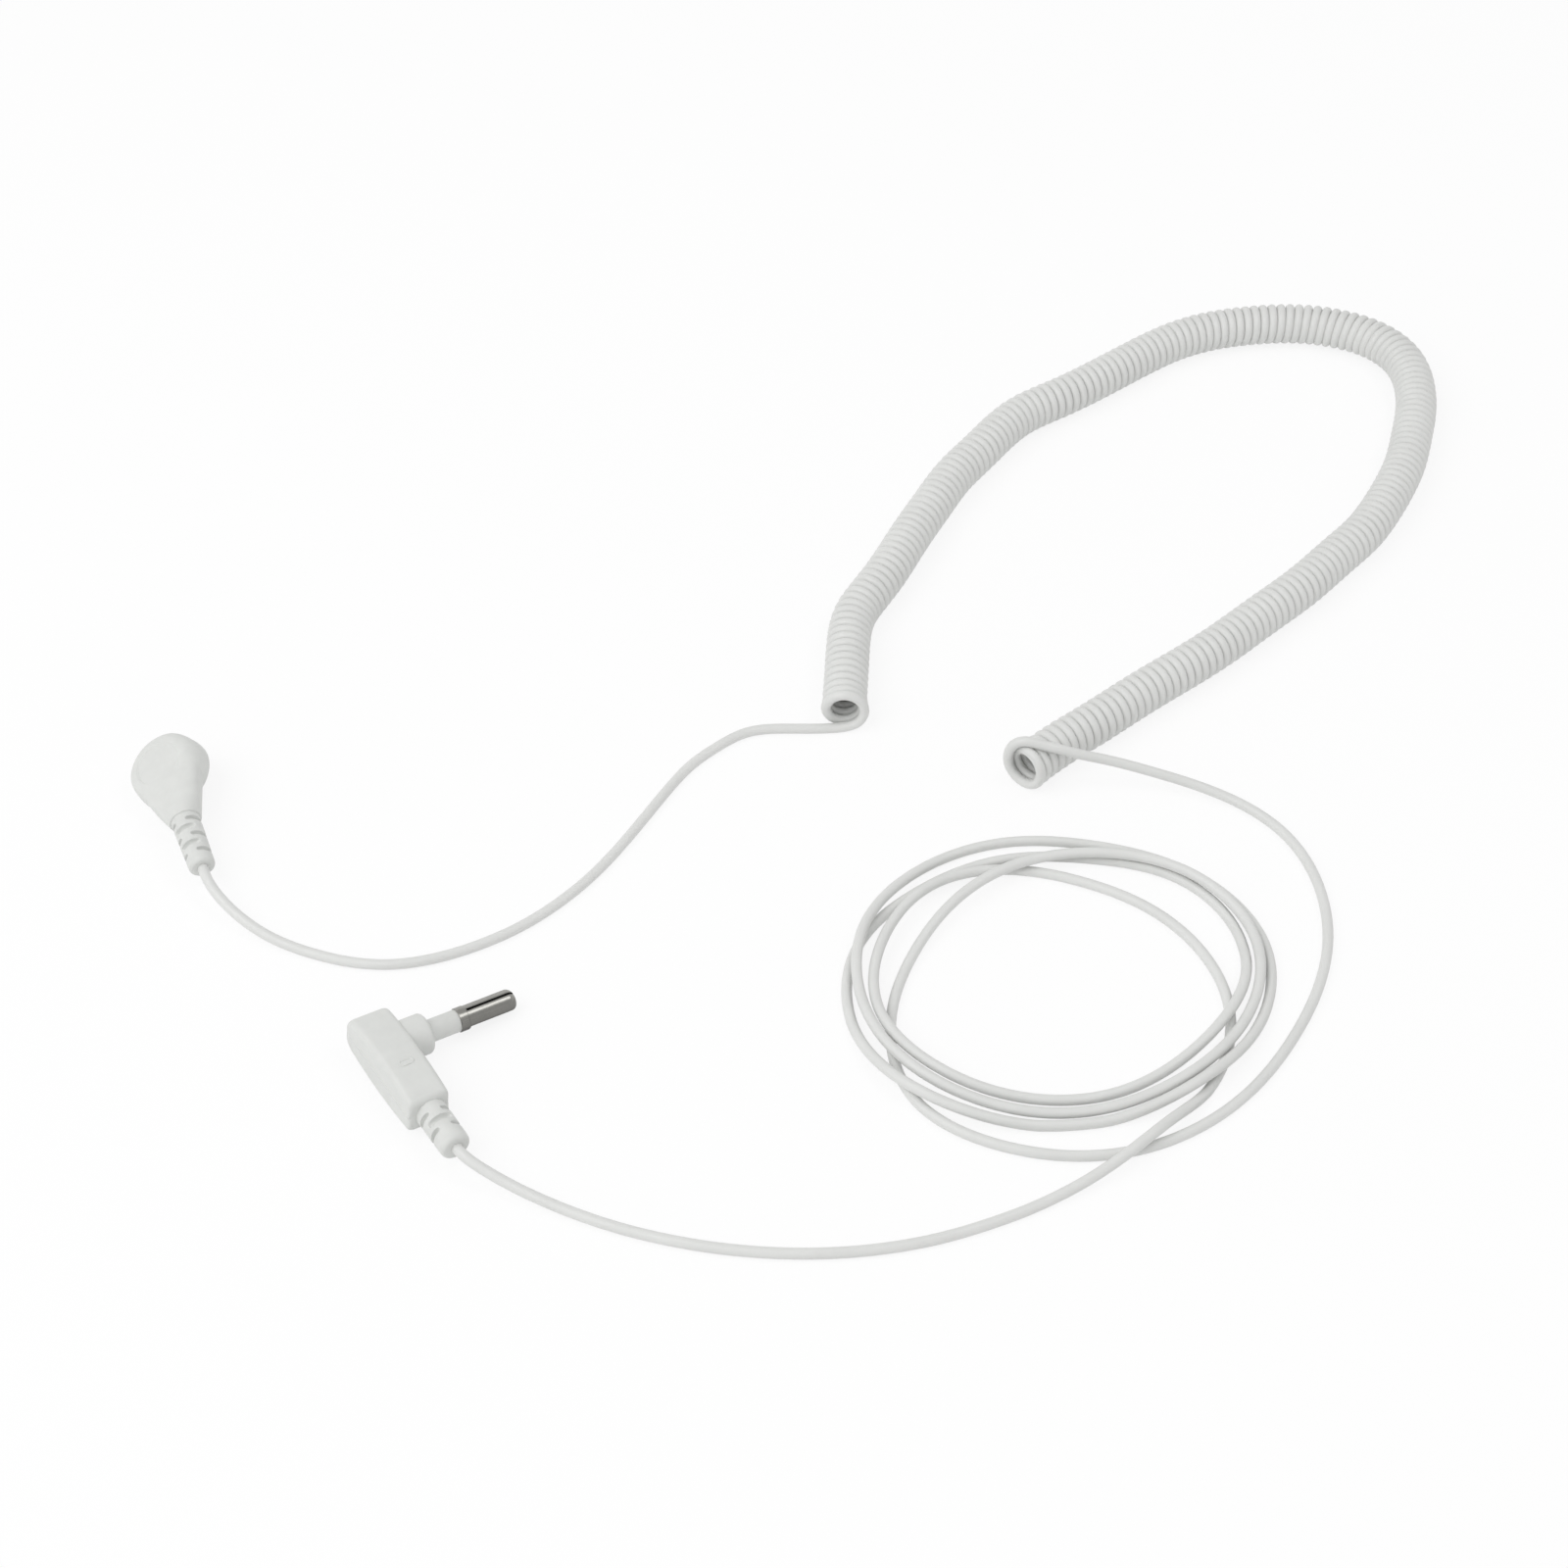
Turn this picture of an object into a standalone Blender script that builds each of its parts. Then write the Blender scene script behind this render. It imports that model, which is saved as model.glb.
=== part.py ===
"""Wrist strap ground cord: a moulded snap end, a curly cord and a right-angle banana plug.

Every length below is in millimetres. Three frames are used:
  bench  X right, Y away, Z up, the cord lying on the plane Z = 0
  head   X along the neck of the snap end towards the cord, Z out of its round top face
  plug   X along the plug body towards the cord, Y along the pin towards its tip, Z up out of the body
The finished part is moved so that its snap end lies centred over the origin.
"""
import bpy
import bmesh
import math
import numpy as np
from mathutils import Matrix, Vector

MM = 0.001
ROW_SHIFT = (104.317, 9.083, 0.0)  # bench to row frame

# ---- cord -------------------------------------------------------------------------------------
CORD_R = 0.90
GAP = 0.30                         # clearance kept between neighbouring pieces
COIL_OUTER_R = 4.02
COIL_AXIS_Z = 4.05

# ---- snap end: position of the head frame on the bench -------------------------------------------
HEAD_CENTRE = (-106.67, -1.36, 6.0)
HEAD_YAW = -67.47                  # heading of the neck, degrees
HEAD_PITCH = 3.6                   # nose-down tilt of the neck
HEAD_ROLL = 27.0                   # lean of the top face about the neck axis

DISC_R = 6.9                       # moulded head: widest radius
DISC_TOP_Z = 1.9
DISC_BOTTOM_Z = -3.35
DISC_SIDE_TAPER = 0.2
DISC_BOTTOM_CHAMFER = 0.45
DISC_TOP_FILLET = 1.65
PANEL_R = 4.45                     # shallow round panel in the top face
PANEL_DEPTH = 0.22
HEAD_CAVITY_R = 5.3
HEAD_CAVITY_TOP_Z = 0.9
NECK_START_X = 2.7
NECK_START_HALF_WIDTH = 5.8
NECK_END_X = 12.93
NECK_END_R = 2.8
NECK_BORE_R = 1.5

CUP_FLANGE_R = 5.0                 # pressed metal socket for a 4 mm stud
CUP_MOUTH_R = 2.15
CUP_WALL_R = 4.2
CUP_SHEET = 0.3
CUP_BOTTOM_Z = -3.2
CUP_TOP_Z = -0.7
WIRE_R = 0.25                      # the two spring wires across the socket
WIRE_Y = 1.95
WIRE_Z = -2.3
WIRE_HALF_LENGTH = 2.5
WIRE_LEG = 0.6

RESISTOR_START_X = 6.5
RESISTOR_LENGTH = 5.0
RESISTOR_END_R = 1.15
RESISTOR_WAIST_R = 1.0
THIN_WIRE_R = 0.3

# ---- strain reliefs ----------------------------------------------------------------------------
RELIEF_BORE_R = 1.2
RELIEF_SLOT_WIDTH = 0.75
RELIEF_SLOT_INNER = 1.5
RELIEF_SLOT_HALF_SPAN = 1.75
HEAD_RELIEF_START = 13.23
HEAD_RELIEF_END = 24.05
PLUG_RELIEF_START = 15.5
PLUG_RELIEF_END = 23.65

# ---- plug: position of the plug frame on the bench -------------------------------------------------
PLUG_CENTRE = (-63.13, -62.70, 4.40)   # pin axis crossing the middle of the body
PLUG_YAW = -57.0
PLUG_DROOP = 6.2                   # the pin tip rests on the bench

BODY_START_X = -6.3
BODY_END_X = 15.2
BODY_LEFT_Y = -3.75                # the side away from the pin
BODY_RIGHT_Y = 3.3
BODY_MID_HALF_THICKNESS = 4.14
BODY_END_HALF_THICKNESS = 3.2
BODY_EDGE_R = 1.1
BODY_BACK_R = 2.0                  # the end away from the cord is rounder, seen from the side
BODY_FRONT_R = 0.95
BODY_CORNER_R = 0.6                # seen from above
BODY_WALL = 1.1
PARTING_HALF_GAP = 0.12

COLLAR_R = 3.4
COLLAR_END_Y = 7.4
SLEEVE_R = 1.875
SLEEVE_END_Y = 12.45
SHANK_R = 0.95
TUBE_R = 2.04
TUBE_START_Y = 12.75
TUBE_END_Y = 23.15
TUBE_SLOT_START_Y = 14.4
TUBE_NOSE_R = 1.2

# ---- routes of the free cord on the bench: (x, y, z) points along its centre -----------------------
SNAP_LEAD = [
    (-97.47, -23.53, 4.49), (-96.65, -25.45, 4.3), (-93.9, -29.3, 3.3), (-90.1, -32.8, 2.2),
    (-85.0, -36.2, 1.3), (-78.9, -39.0, 0.9), (-72.0, -41.2, 0.9), (-64.8, -41.9, 0.9),
    (-57.6, -40.6, 0.9), (-50.6, -37.7, 0.9), (-43.9, -33.6, 0.9), (-38.0, -28.4, 0.9),
    (-32.8, -22.4, 0.9), (-28.5, -16.0, 0.9), (-24.4, -8.9, 0.9), (-20.1, -1.2, 0.9),
    (-16.0, 5.0, 0.9), (-11.5, 9.5, 0.9), (-6.4, 13.0, 0.9), (-0.4, 13.9, 0.9), (7.0, 13.9, 0.9)]

COIL_AXIS = [
    (40.5, -0.7), (48.1, 6.6), (54.3, 11.7), (63.4, 19.5), (72.7, 27.0), (78.9, 32.3), (87.6, 40.6),
    (96.1, 48.8), (104.0, 57.7), (109.1, 63.6), (113.5, 70.4), (117.3, 77.6), (120.5, 85.0),
    (122.9, 93.0), (124.9, 100.8), (125.9, 109.2), (124.7, 117.9), (120.2, 124.4), (113.6, 128.2),
    (106.0, 130.0), (94.1, 129.3), (86.4, 127.4), (79.0, 123.9), (72.4, 119.2), (63.2, 111.8),
    (53.6, 104.7), (47.1, 100.1), (41.8, 94.0), (37.3, 87.5), (32.8, 81.0), (29.1, 73.9),
    (23.7, 62.8), (18.7, 51.8), (15.0, 44.9), (13.3, 41.4), (11.7, 33.1), (11.2, 24.8),
    (10.8, 16.8), (10.8, 13.5)]

PLUG_LEAD_IN = [(49.9, 1.1, 7.5), (56.0, 1.2, 5.6), (64.0, 0.4, 3.5), (72.5, -1.8, 1.9)]
LOOP_CENTRE = (44.5, -46.5)
LOOP_FIRST_BEARING = 45
LOOP_STEP = -30
# The four and a bit loops of the hank, turned clockwise: (radius, height) at each 30 degree step
LOOP_TURNS = [
    [(54.1, 0.9), (47.4, 0.9), (39.1, 0.9), (36.0, 0.9), (35.2, 0.9), (34.6, 0.9),
     (33.7, 0.9), (28.2, 0.9), (24.2, 1.2), (23.4, 2.7), (25.2, 3.4), (29.1, 2.9)],
    [(33.3, 2.9), (34.4, 2.4), (31.0, 2.7), (28.1, 3.1), (26.5, 1.4), (27.3, 1.5),
     (29.9, 3.0), (31.9, 2.9), (33.1, 3.3), (33.2, 1.8), (33.1, 0.9), (32.7, 0.9)],
    [(35.0, 0.9), (36.1, 0.9), (33.2, 1.6), (30.3, 3.4), (28.7, 1.0), (29.8, 1.2),
     (33.2, 3.1), (34.5, 1.0), (33.4, 0.9), (30.2, 0.9), (29.2, 0.9), (29.5, 0.9)],
    [(32.7, 0.9), (32.4, 0.9), (28.1, 3.1), (24.4, 1.4), (23.8, 1.0), (24.4, 1.1),
     (27.2, 2.6), (29.9, 3.0), (29.5, 2.8), (28.6, 2.9), (26.6, 1.2), (23.8, 0.9)],
    [(23.8, 0.9), (25.6, 0.9), (28.5, 0.9), (31.4, 0.9)]]
PLUG_LEAD_OUT = [
    (61.0, -75.0, 2.7), (54.6, -81.2, 3.4), (47.5, -86.2, 2.1), (36.0, -92.2, 0.9),
    (22.0, -97.4, 0.9), (7.0, -99.7, 0.9), (-8.5, -99.0, 0.9), (-24.0, -95.4, 0.9),
    (-37.5, -90.0, 1.6), (-45.8, -85.9, 3.2), (-50.25, -82.53, 4.4)]


def clear_scene():
    for obj in list(bpy.data.objects):
        bpy.data.objects.remove(obj, do_unlink=True)


def material(name, colour, roughness, metallic=0.0):
    mat = bpy.data.materials.new(name)
    mat.use_nodes = True
    shader = mat.node_tree.nodes["Principled BSDF"]
    shader.inputs["Base Color"].default_value = (*colour, 1.0)
    shader.inputs["Roughness"].default_value = roughness
    shader.inputs["Metallic"].default_value = metallic
    return mat


def bench_matrix(centre, yaw, tilt_axis_matrix):
    turn = Matrix.Rotation(math.radians(yaw), 4, "Z")
    return Matrix.Translation(Vector(centre)) @ turn @ tilt_axis_matrix


def head_frame():
    pitch = Matrix.Rotation(math.radians(HEAD_PITCH), 4, "Y")
    roll = Matrix.Rotation(math.radians(HEAD_ROLL), 4, "X")
    return bench_matrix(HEAD_CENTRE, HEAD_YAW, pitch @ roll)


def plug_frame():
    droop = Matrix.Rotation(math.radians(-PLUG_DROOP), 4, "X")
    return bench_matrix(PLUG_CENTRE, PLUG_YAW, droop)


def row_placement(frame):
    """Where a local frame stands in the row frame, in metres."""
    moved = Matrix.Translation(Vector(ROW_SHIFT)) @ frame
    return Matrix.LocRotScale(moved.translation * MM, moved.to_quaternion(), None)


def solid(name, verts, faces, mat=None):
    """One closed body in millimetres of its own frame."""
    mesh = bpy.data.meshes.new(name)
    mesh.from_pydata([tuple(v) for v in verts], [], [tuple(f) for f in faces])
    bm = bmesh.new()
    bm.from_mesh(mesh)
    bmesh.ops.recalc_face_normals(bm, faces=bm.faces)
    bm.to_mesh(mesh)
    bm.free()
    obj = bpy.data.objects.new(name, mesh)
    bpy.context.collection.objects.link(obj)
    if mat:
        mesh.materials.append(mat)
    return obj


def place(obj, frame, smooth_angle=35.0):
    """Bring a finished body to metres and stand it where its own frame is."""
    obj.data.transform(Matrix.Scale(MM, 4))
    obj.matrix_world = row_placement(frame)
    obj.data.shade_smooth()
    obj.data.set_sharp_from_angle(angle=math.radians(smooth_angle))
    return obj


def make_node(name, verts, faces, frame, mat):
    return place(solid(name, verts, faces, mat), frame)


def combine(obj, operation, tool):
    """Cut the tool from the object, or join it on, and drop the tool."""
    mod = obj.modifiers.new("combine", "BOOLEAN")
    mod.operation = operation
    mod.solver = "EXACT"
    mod.object = tool
    bpy.context.view_layer.update()
    graph = bpy.context.evaluated_depsgraph_get()
    result = bpy.data.meshes.new_from_object(obj.evaluated_get(graph))
    obj.modifiers.clear()
    old = obj.data
    obj.data = result
    bpy.data.meshes.remove(old)
    bpy.data.objects.remove(tool, do_unlink=True)
    return obj


# ---- shape builders: each returns (verts, faces) ----------------------------------------------------
AXES = {"X": ((1, 0, 0), (0, 1, 0), (0, 0, 1)),
        "Y": ((0, 1, 0), (0, 0, 1), (1, 0, 0)),
        "Z": ((0, 0, 1), (1, 0, 0), (0, 1, 0))}


def revolve(profile, axis, segments=40, centre=(0.0, 0.0, 0.0)):
    """Turn a closed outline of (radius, position along axis) points about the axis."""
    along, side, up = (Vector(v) for v in AXES[axis])
    base = Vector(centre)
    verts = []
    rings = []
    for radius, position in profile:
        ring = []
        if radius < 1e-6:
            verts.append(base + along * position)
            ring = [len(verts) - 1] * segments
        else:
            for k in range(segments):
                a = 2.0 * math.pi * k / segments
                verts.append(base + along * position + radius * (side * math.cos(a) + up * math.sin(a)))
                ring.append(len(verts) - 1)
        rings.append(ring)
    faces = []
    count = len(profile)
    for i in range(count):
        lower = rings[i]
        upper = rings[(i + 1) % count]
        if lower[0] == lower[1] and upper[0] == upper[1]:
            continue
        for k in range(segments):
            n = (k + 1) % segments
            corner = []
            for v in (lower[k], lower[n], upper[n], upper[k]):
                if v not in corner:
                    corner.append(v)
            faces.append(corner)
    return verts, faces


def rod(radius, start, end, axis, segments=24, centre=(0.0, 0.0, 0.0)):
    return revolve([(0, start), (radius, start), (radius, end), (0, end)], axis, segments, centre)


def tube(outer, inner, start, end, axis, segments=24):
    return revolve([(inner, start), (outer, start), (outer, end), (inner, end)], axis, segments)


def loft(sections):
    """Skin closed rings of equal point count and cap both ends."""
    verts = [Vector(p) for ring in sections for p in ring]
    n = len(sections[0])
    faces = []
    for s in range(len(sections) - 1):
        for k in range(n):
            m = (k + 1) % n
            faces.append((s * n + k, s * n + m, (s + 1) * n + m, (s + 1) * n + k))
    faces.append(tuple(reversed(range(n))))
    last = (len(sections) - 1) * n
    faces.append(tuple(last + k for k in range(n)))
    return verts, faces


def box(low, high):
    corner = [(x, y, z) for z in (low[2], high[2]) for y in (low[1], high[1]) for x in (low[0], high[0])]
    faces = [(0, 2, 3, 1), (4, 5, 7, 6), (0, 1, 5, 4), (2, 6, 7, 3), (0, 4, 6, 2), (1, 3, 7, 5)]
    return corner, faces


def bent_rod(points, radius, sides=12):
    """A round wire through the points, with a mitred ring at each bend and flat ends."""
    route = [Vector(p) for p in points]
    tangents = []
    for i in range(len(route)):
        before = (route[i] - route[i - 1]).normalized() if i > 0 else None
        after = (route[i + 1] - route[i]).normalized() if i < len(route) - 1 else None
        tangents.append(((before or after) + (after or before)).normalized())
    up = Vector((0, 0, 1))
    if abs(tangents[0].dot(up)) > 0.9:
        up = Vector((0, 1, 0))
    side = tangents[0].cross(up).normalized()
    sections = []
    for point, tangent in zip(route, tangents):
        side = (side - tangent * side.dot(tangent)).normalized()
        other = tangent.cross(side)
        ring = []
        for k in range(sides):
            a = 2.0 * math.pi * k / sides
            ring.append(point + radius * (side * math.cos(a) + other * math.sin(a)))
        sections.append(ring)
    return loft(sections)


def fillet_points(radius_from, z_from, radius_to, z_to, steps=6):
    """Quarter ellipse from (radius_from, z_from) to (radius_to, z_to), turning through the outer corner."""
    points = []
    for i in range(1, steps):
        a = 0.5 * math.pi * i / steps
        r = radius_to + (radius_from - radius_to) * math.cos(a)
        z = z_from + (z_to - z_from) * math.sin(a)
        points.append((r, z))
    return points


# ---- snap end -------------------------------------------------------------------------------------
def neck_sections():
    """The neck narrows from the full height of the disc to the round shoulder of the strain relief."""
    sections = []
    stations = 9
    for s in range(stations):
        t = s / (stations - 1)
        x = NECK_START_X + (NECK_END_X - NECK_START_X) * t
        ring = []
        for k in range(32):
            a = 2.0 * math.pi * k / 32
            c = math.cos(a)
            d = math.sin(a)
            wide_y = NECK_START_HALF_WIDTH * math.copysign(abs(c) ** 0.55, c)
            half = DISC_TOP_Z if d > 0 else -DISC_BOTTOM_Z
            wide_z = (half - 0.02) * math.copysign(abs(d) ** 0.55, d)
            mix = t ** 1.27 if d > 0 else t
            y = wide_y * (1.0 - mix) + NECK_END_R * c * mix
            z = wide_z * (1.0 - mix) + NECK_END_R * d * mix
            ring.append((x, y, z))
        sections.append(ring)
    return sections


def snap_head_overmould(frame, mat):
    inset = DISC_R - DISC_TOP_FILLET
    side = DISC_R - DISC_SIDE_TAPER
    chamfer = DISC_BOTTOM_CHAMFER
    profile = [(0, DISC_BOTTOM_Z), (DISC_R - chamfer, DISC_BOTTOM_Z), (DISC_R, DISC_BOTTOM_Z + chamfer),
               (DISC_R, DISC_BOTTOM_Z + 1.6), (side, DISC_TOP_Z - DISC_TOP_FILLET)]
    profile += fillet_points(side, DISC_TOP_Z - DISC_TOP_FILLET, inset, DISC_TOP_Z)
    profile += [(inset, DISC_TOP_Z), (0, DISC_TOP_Z)]
    head = solid("snap_head_overmould", *revolve(profile, "Z", 64), mat)
    combine(head, "UNION", solid("tool", *loft(neck_sections())))
    cavity = rod(HEAD_CAVITY_R, DISC_BOTTOM_Z - 1.0, HEAD_CAVITY_TOP_Z, "Z", 56)
    combine(head, "DIFFERENCE", solid("tool", *cavity))
    bore = rod(NECK_BORE_R, 3.0, NECK_END_X + 1.0, "X", 28)
    combine(head, "DIFFERENCE", solid("tool", *bore))
    panel = rod(PANEL_R, DISC_TOP_Z - PANEL_DEPTH, DISC_TOP_Z + 1.0, "Z", 60)
    combine(head, "DIFFERENCE", solid("tool", *panel))
    return place(head, frame)


def socket_cup(frame, mat):
    inner = CUP_WALL_R - CUP_SHEET
    profile = [(CUP_MOUTH_R, CUP_BOTTOM_Z), (CUP_FLANGE_R, CUP_BOTTOM_Z),
               (CUP_FLANGE_R, CUP_BOTTOM_Z + CUP_SHEET), (CUP_WALL_R, CUP_BOTTOM_Z + CUP_SHEET),
               (CUP_WALL_R, CUP_TOP_Z - 0.2), (CUP_WALL_R - 0.2, CUP_TOP_Z), (1.2, CUP_TOP_Z),
               (1.2, CUP_TOP_Z - CUP_SHEET), (inner, CUP_TOP_Z - CUP_SHEET),
               (inner, CUP_BOTTOM_Z + CUP_SHEET), (CUP_MOUTH_R, CUP_BOTTOM_Z + CUP_SHEET)]
    return make_node("stud_socket_cup", *revolve(profile, "Z", 48), frame, mat)


def spring_wire(name, side, frame, mat):
    y = side * WIRE_Y
    far = WIRE_HALF_LENGTH
    points = [(-far, y, WIRE_Z + WIRE_LEG), (-far, y, WIRE_Z + 0.18), (-far + 0.18, y, WIRE_Z),
              (-1.2, y, WIRE_Z), (0.0, y - side * 0.06, WIRE_Z), (1.2, y, WIRE_Z),
              (far - 0.18, y, WIRE_Z), (far, y, WIRE_Z + 0.18), (far, y, WIRE_Z + WIRE_LEG)]
    return make_node(name, *bent_rod(points, WIRE_R), frame, mat)


def socket_rivet(frame, mat):
    roof = CUP_TOP_Z
    profile = [(0, roof - 0.9), (1.5, roof - 0.9), (1.7, roof - 0.75), (1.7, roof - 0.6),
               (0.9, roof - 0.6), (0.9, roof + 0.85), (1.6, roof + 0.85), (1.6, roof + 1.0),
               (1.3, roof + 1.2), (0, roof + 1.2)]
    return make_node("socket_rivet", *revolve(profile, "Z", 32), frame, mat)


def contact_washer(frame, mat):
    low = CUP_TOP_Z + GAP
    high = low + 0.25
    washer = solid("contact_washer", *tube(2.6, 1.2, low, high, "Z", 36), mat)
    middle = 0.5 * (low + high)
    outline = [(2.2, middle - 0.08), (4.45, middle - 0.08), (4.45, 0.6), (4.2, 0.6), (4.2, middle + 0.08),
               (2.2, middle + 0.08)]
    ends = [[(x, y, z) for x, z in outline] for y in (-0.8, 0.8)]
    combine(washer, "UNION", solid("tool", *loft(ends)))
    return place(washer, frame)


def resistor(frame, mats):
    start = RESISTOR_START_X
    end = start + RESISTOR_LENGTH
    profile = [(0, start), (0.8, start), (RESISTOR_END_R, start + 0.3), (RESISTOR_END_R, start + 1.0),
               (RESISTOR_WAIST_R, start + 1.4), (RESISTOR_WAIST_R, end - 1.4),
               (RESISTOR_END_R, end - 1.0), (RESISTOR_END_R, end - 0.3), (0.8, end), (0, end)]
    make_node("resistor_body", *revolve(profile, "X", 28), frame, mats["resistor_body"])
    front = rod(THIN_WIRE_R, 4.45 + GAP, start - GAP, "X", 16)
    make_node("resistor_lead_front", *front, frame, mats["resistor_lead_front"])
    rear = rod(THIN_WIRE_R, end + GAP, 14.0, "X", 16)
    make_node("resistor_lead_rear", *rear, frame, mats["resistor_lead_rear"])


def strain_relief(name, start, end, radius_start, radius_end, side_slots, top_slots, frame, mat):
    """Tapered sleeve, a rounded collar at its free end, and slots across its sides and top."""
    profile = [(RELIEF_BORE_R, start), (radius_start, start), (radius_end, end - 0.9),
               (radius_end, end - 0.45), (radius_end - 0.2, end - 0.12), (radius_end - 0.55, end),
               (RELIEF_BORE_R, end)]
    relief = solid(name, *revolve(profile, "X", 36), mat)
    half = 0.5 * RELIEF_SLOT_WIDTH
    span = RELIEF_SLOT_HALF_SPAN
    for middle in side_slots:
        for sign in (-1, 1):
            near, far = sorted((sign * RELIEF_SLOT_INNER, sign * 3.4))
            cut = box((middle - half, near, -span), (middle + half, far, span))
            combine(relief, "DIFFERENCE", solid("tool", *cut))
    for middle in top_slots:
        for sign in (-1, 1):
            near, far = sorted((sign * RELIEF_SLOT_INNER, sign * 3.4))
            cut = box((middle - half, -span, near), (middle + half, span, far))
            combine(relief, "DIFFERENCE", solid("tool", *cut))
    return place(relief, frame)


def build_snap_end(mats):
    frame = head_frame()
    snap_head_overmould(frame, mats["snap_head_overmould"])
    socket_cup(frame, mats["stud_socket_cup"])
    spring_wire("spring_wire_left", 1, frame, mats["spring_wire_left"])
    spring_wire("spring_wire_right", -1, frame, mats["spring_wire_right"])
    socket_rivet(frame, mats["socket_rivet"])
    contact_washer(frame, mats["contact_washer"])
    resistor(frame, mats)
    crimp = tube(0.9, 0.6, 12.9, 17.0, "X")
    make_node("snap_crimp_ferrule", *crimp, frame, mats["snap_crimp_ferrule"])
    make_node("snap_conductor", *rod(THIN_WIRE_R, 14.3, 18.2, "X", 16), frame, mats["snap_conductor"])
    tail = rod(CORD_R, 18.5, HEAD_RELIEF_END - GAP, "X")
    make_node("snap_jacket_tail", *tail, frame, mats["snap_jacket_tail"])
    strain_relief("snap_strain_relief", HEAD_RELIEF_START, HEAD_RELIEF_END, 2.48, 2.25,
                  (14.3, 17.9, 21.5), (16.1, 19.7), frame, mats["snap_strain_relief"])


# ---- plug -----------------------------------------------------------------------------------------
def body_half_thickness(x):
    middle = 0.5 * (BODY_START_X + BODY_END_X)
    reach = 0.5 * (BODY_END_X - BODY_START_X)
    drop = BODY_MID_HALF_THICKNESS - BODY_END_HALF_THICKNESS
    return BODY_MID_HALF_THICKNESS - drop * ((x - middle) / reach) ** 2


def body_section(x, inset, top, edge, low, side):
    """Outline of a half shell at one station: flat parting face, round outer edges."""
    left = BODY_LEFT_Y + inset
    right = BODY_RIGHT_Y - inset
    ring = [(x, left, side * low)]
    for i in range(5):
        a = math.pi - 0.5 * math.pi * i / 4
        ring.append((x, left + edge + edge * math.cos(a), side * (top - edge + edge * math.sin(a))))
    for i in range(5):
        a = 0.5 * math.pi - 0.5 * math.pi * i / 4
        ring.append((x, right - edge + edge * math.cos(a), side * (top - edge + edge * math.sin(a))))
    ring.append((x, right, side * low))
    return ring


def rounding(distance, radius):
    """How far a corner of that radius falls back at a distance from the end face."""
    if distance >= radius:
        return 0.0
    return radius - math.sqrt(radius ** 2 - (radius - distance) ** 2)


def shell_outer(side):
    sections = []
    back = [BODY_START_X + BODY_BACK_R * e for e in (0.02, 0.1, 0.25, 0.5, 0.75, 1.0)]
    front = [BODY_END_X - BODY_FRONT_R * e for e in (1.0, 0.6, 0.3, 0.1, 0.02)]
    middle = [back[-1] + (front[0] - back[-1]) * i / 11 for i in range(1, 11)]
    for x in back + middle + front:
        from_back = x - BODY_START_X
        from_front = BODY_END_X - x
        fall = rounding(from_back, BODY_BACK_R) + rounding(from_front, BODY_FRONT_R)
        inset = rounding(min(from_back, from_front), BODY_CORNER_R)
        edge = min(BODY_EDGE_R, 0.9 * (body_half_thickness(x) - fall))
        sections.append(body_section(x, inset, body_half_thickness(x) - fall, edge, PARTING_HALF_GAP, side))
    return sections


def shell_inner(side):
    sections = []
    low = BODY_START_X + 1.5 * BODY_WALL
    high = BODY_END_X - BODY_WALL
    for i in range(9):
        x = low + (high - low) * i / 8
        sections.append(body_section(x, BODY_WALL, body_half_thickness(x) - BODY_WALL, 0.5, -1.0, side))
    return sections


def plug_half_shell(name, side, frame, mat):
    shell = solid(name, *loft(shell_outer(side)), mat)
    combine(shell, "DIFFERENCE", solid("tool", *loft(shell_inner(side))))
    stem_hole = rod(2.15, 1.0, 4.5, "Y", 32)
    combine(shell, "DIFFERENCE", solid("tool", *stem_hole))
    cord_hole = rod(RELIEF_BORE_R, BODY_END_X - 3.0, BODY_END_X + 1.0, "X", 28)
    combine(shell, "DIFFERENCE", solid("tool", *cord_hole))
    return place(shell, frame)


def pin_insulator(frame, mat):
    start = BODY_RIGHT_Y + GAP
    bore = SHANK_R + GAP
    profile = [(bore, 1.9), (1.85, 1.9), (1.85, start), (COLLAR_R, start), (COLLAR_R, COLLAR_END_Y - 0.6)]
    profile += fillet_points(COLLAR_R, COLLAR_END_Y - 0.6, COLLAR_R - 0.6, COLLAR_END_Y, 4)
    profile += [(COLLAR_R - 0.6, COLLAR_END_Y), (SLEEVE_R, COLLAR_END_Y), (SLEEVE_R, SLEEVE_END_Y),
                (bore, SLEEVE_END_Y)]
    return make_node("pin_insulator", *revolve(profile, "Y", 44), frame, mat)


def contact_shank(frame, mat):
    profile = [(0, -0.9), (SHANK_R, -0.9), (SHANK_R, 0.9), (1.6, 0.9), (1.6, 1.5), (SHANK_R, 1.5),
               (SHANK_R, 15.6), (SHANK_R - 0.3, 16.0), (0, 16.0)]
    return make_node("contact_shank", *revolve(profile, "Y", 28), frame, mat)


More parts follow.
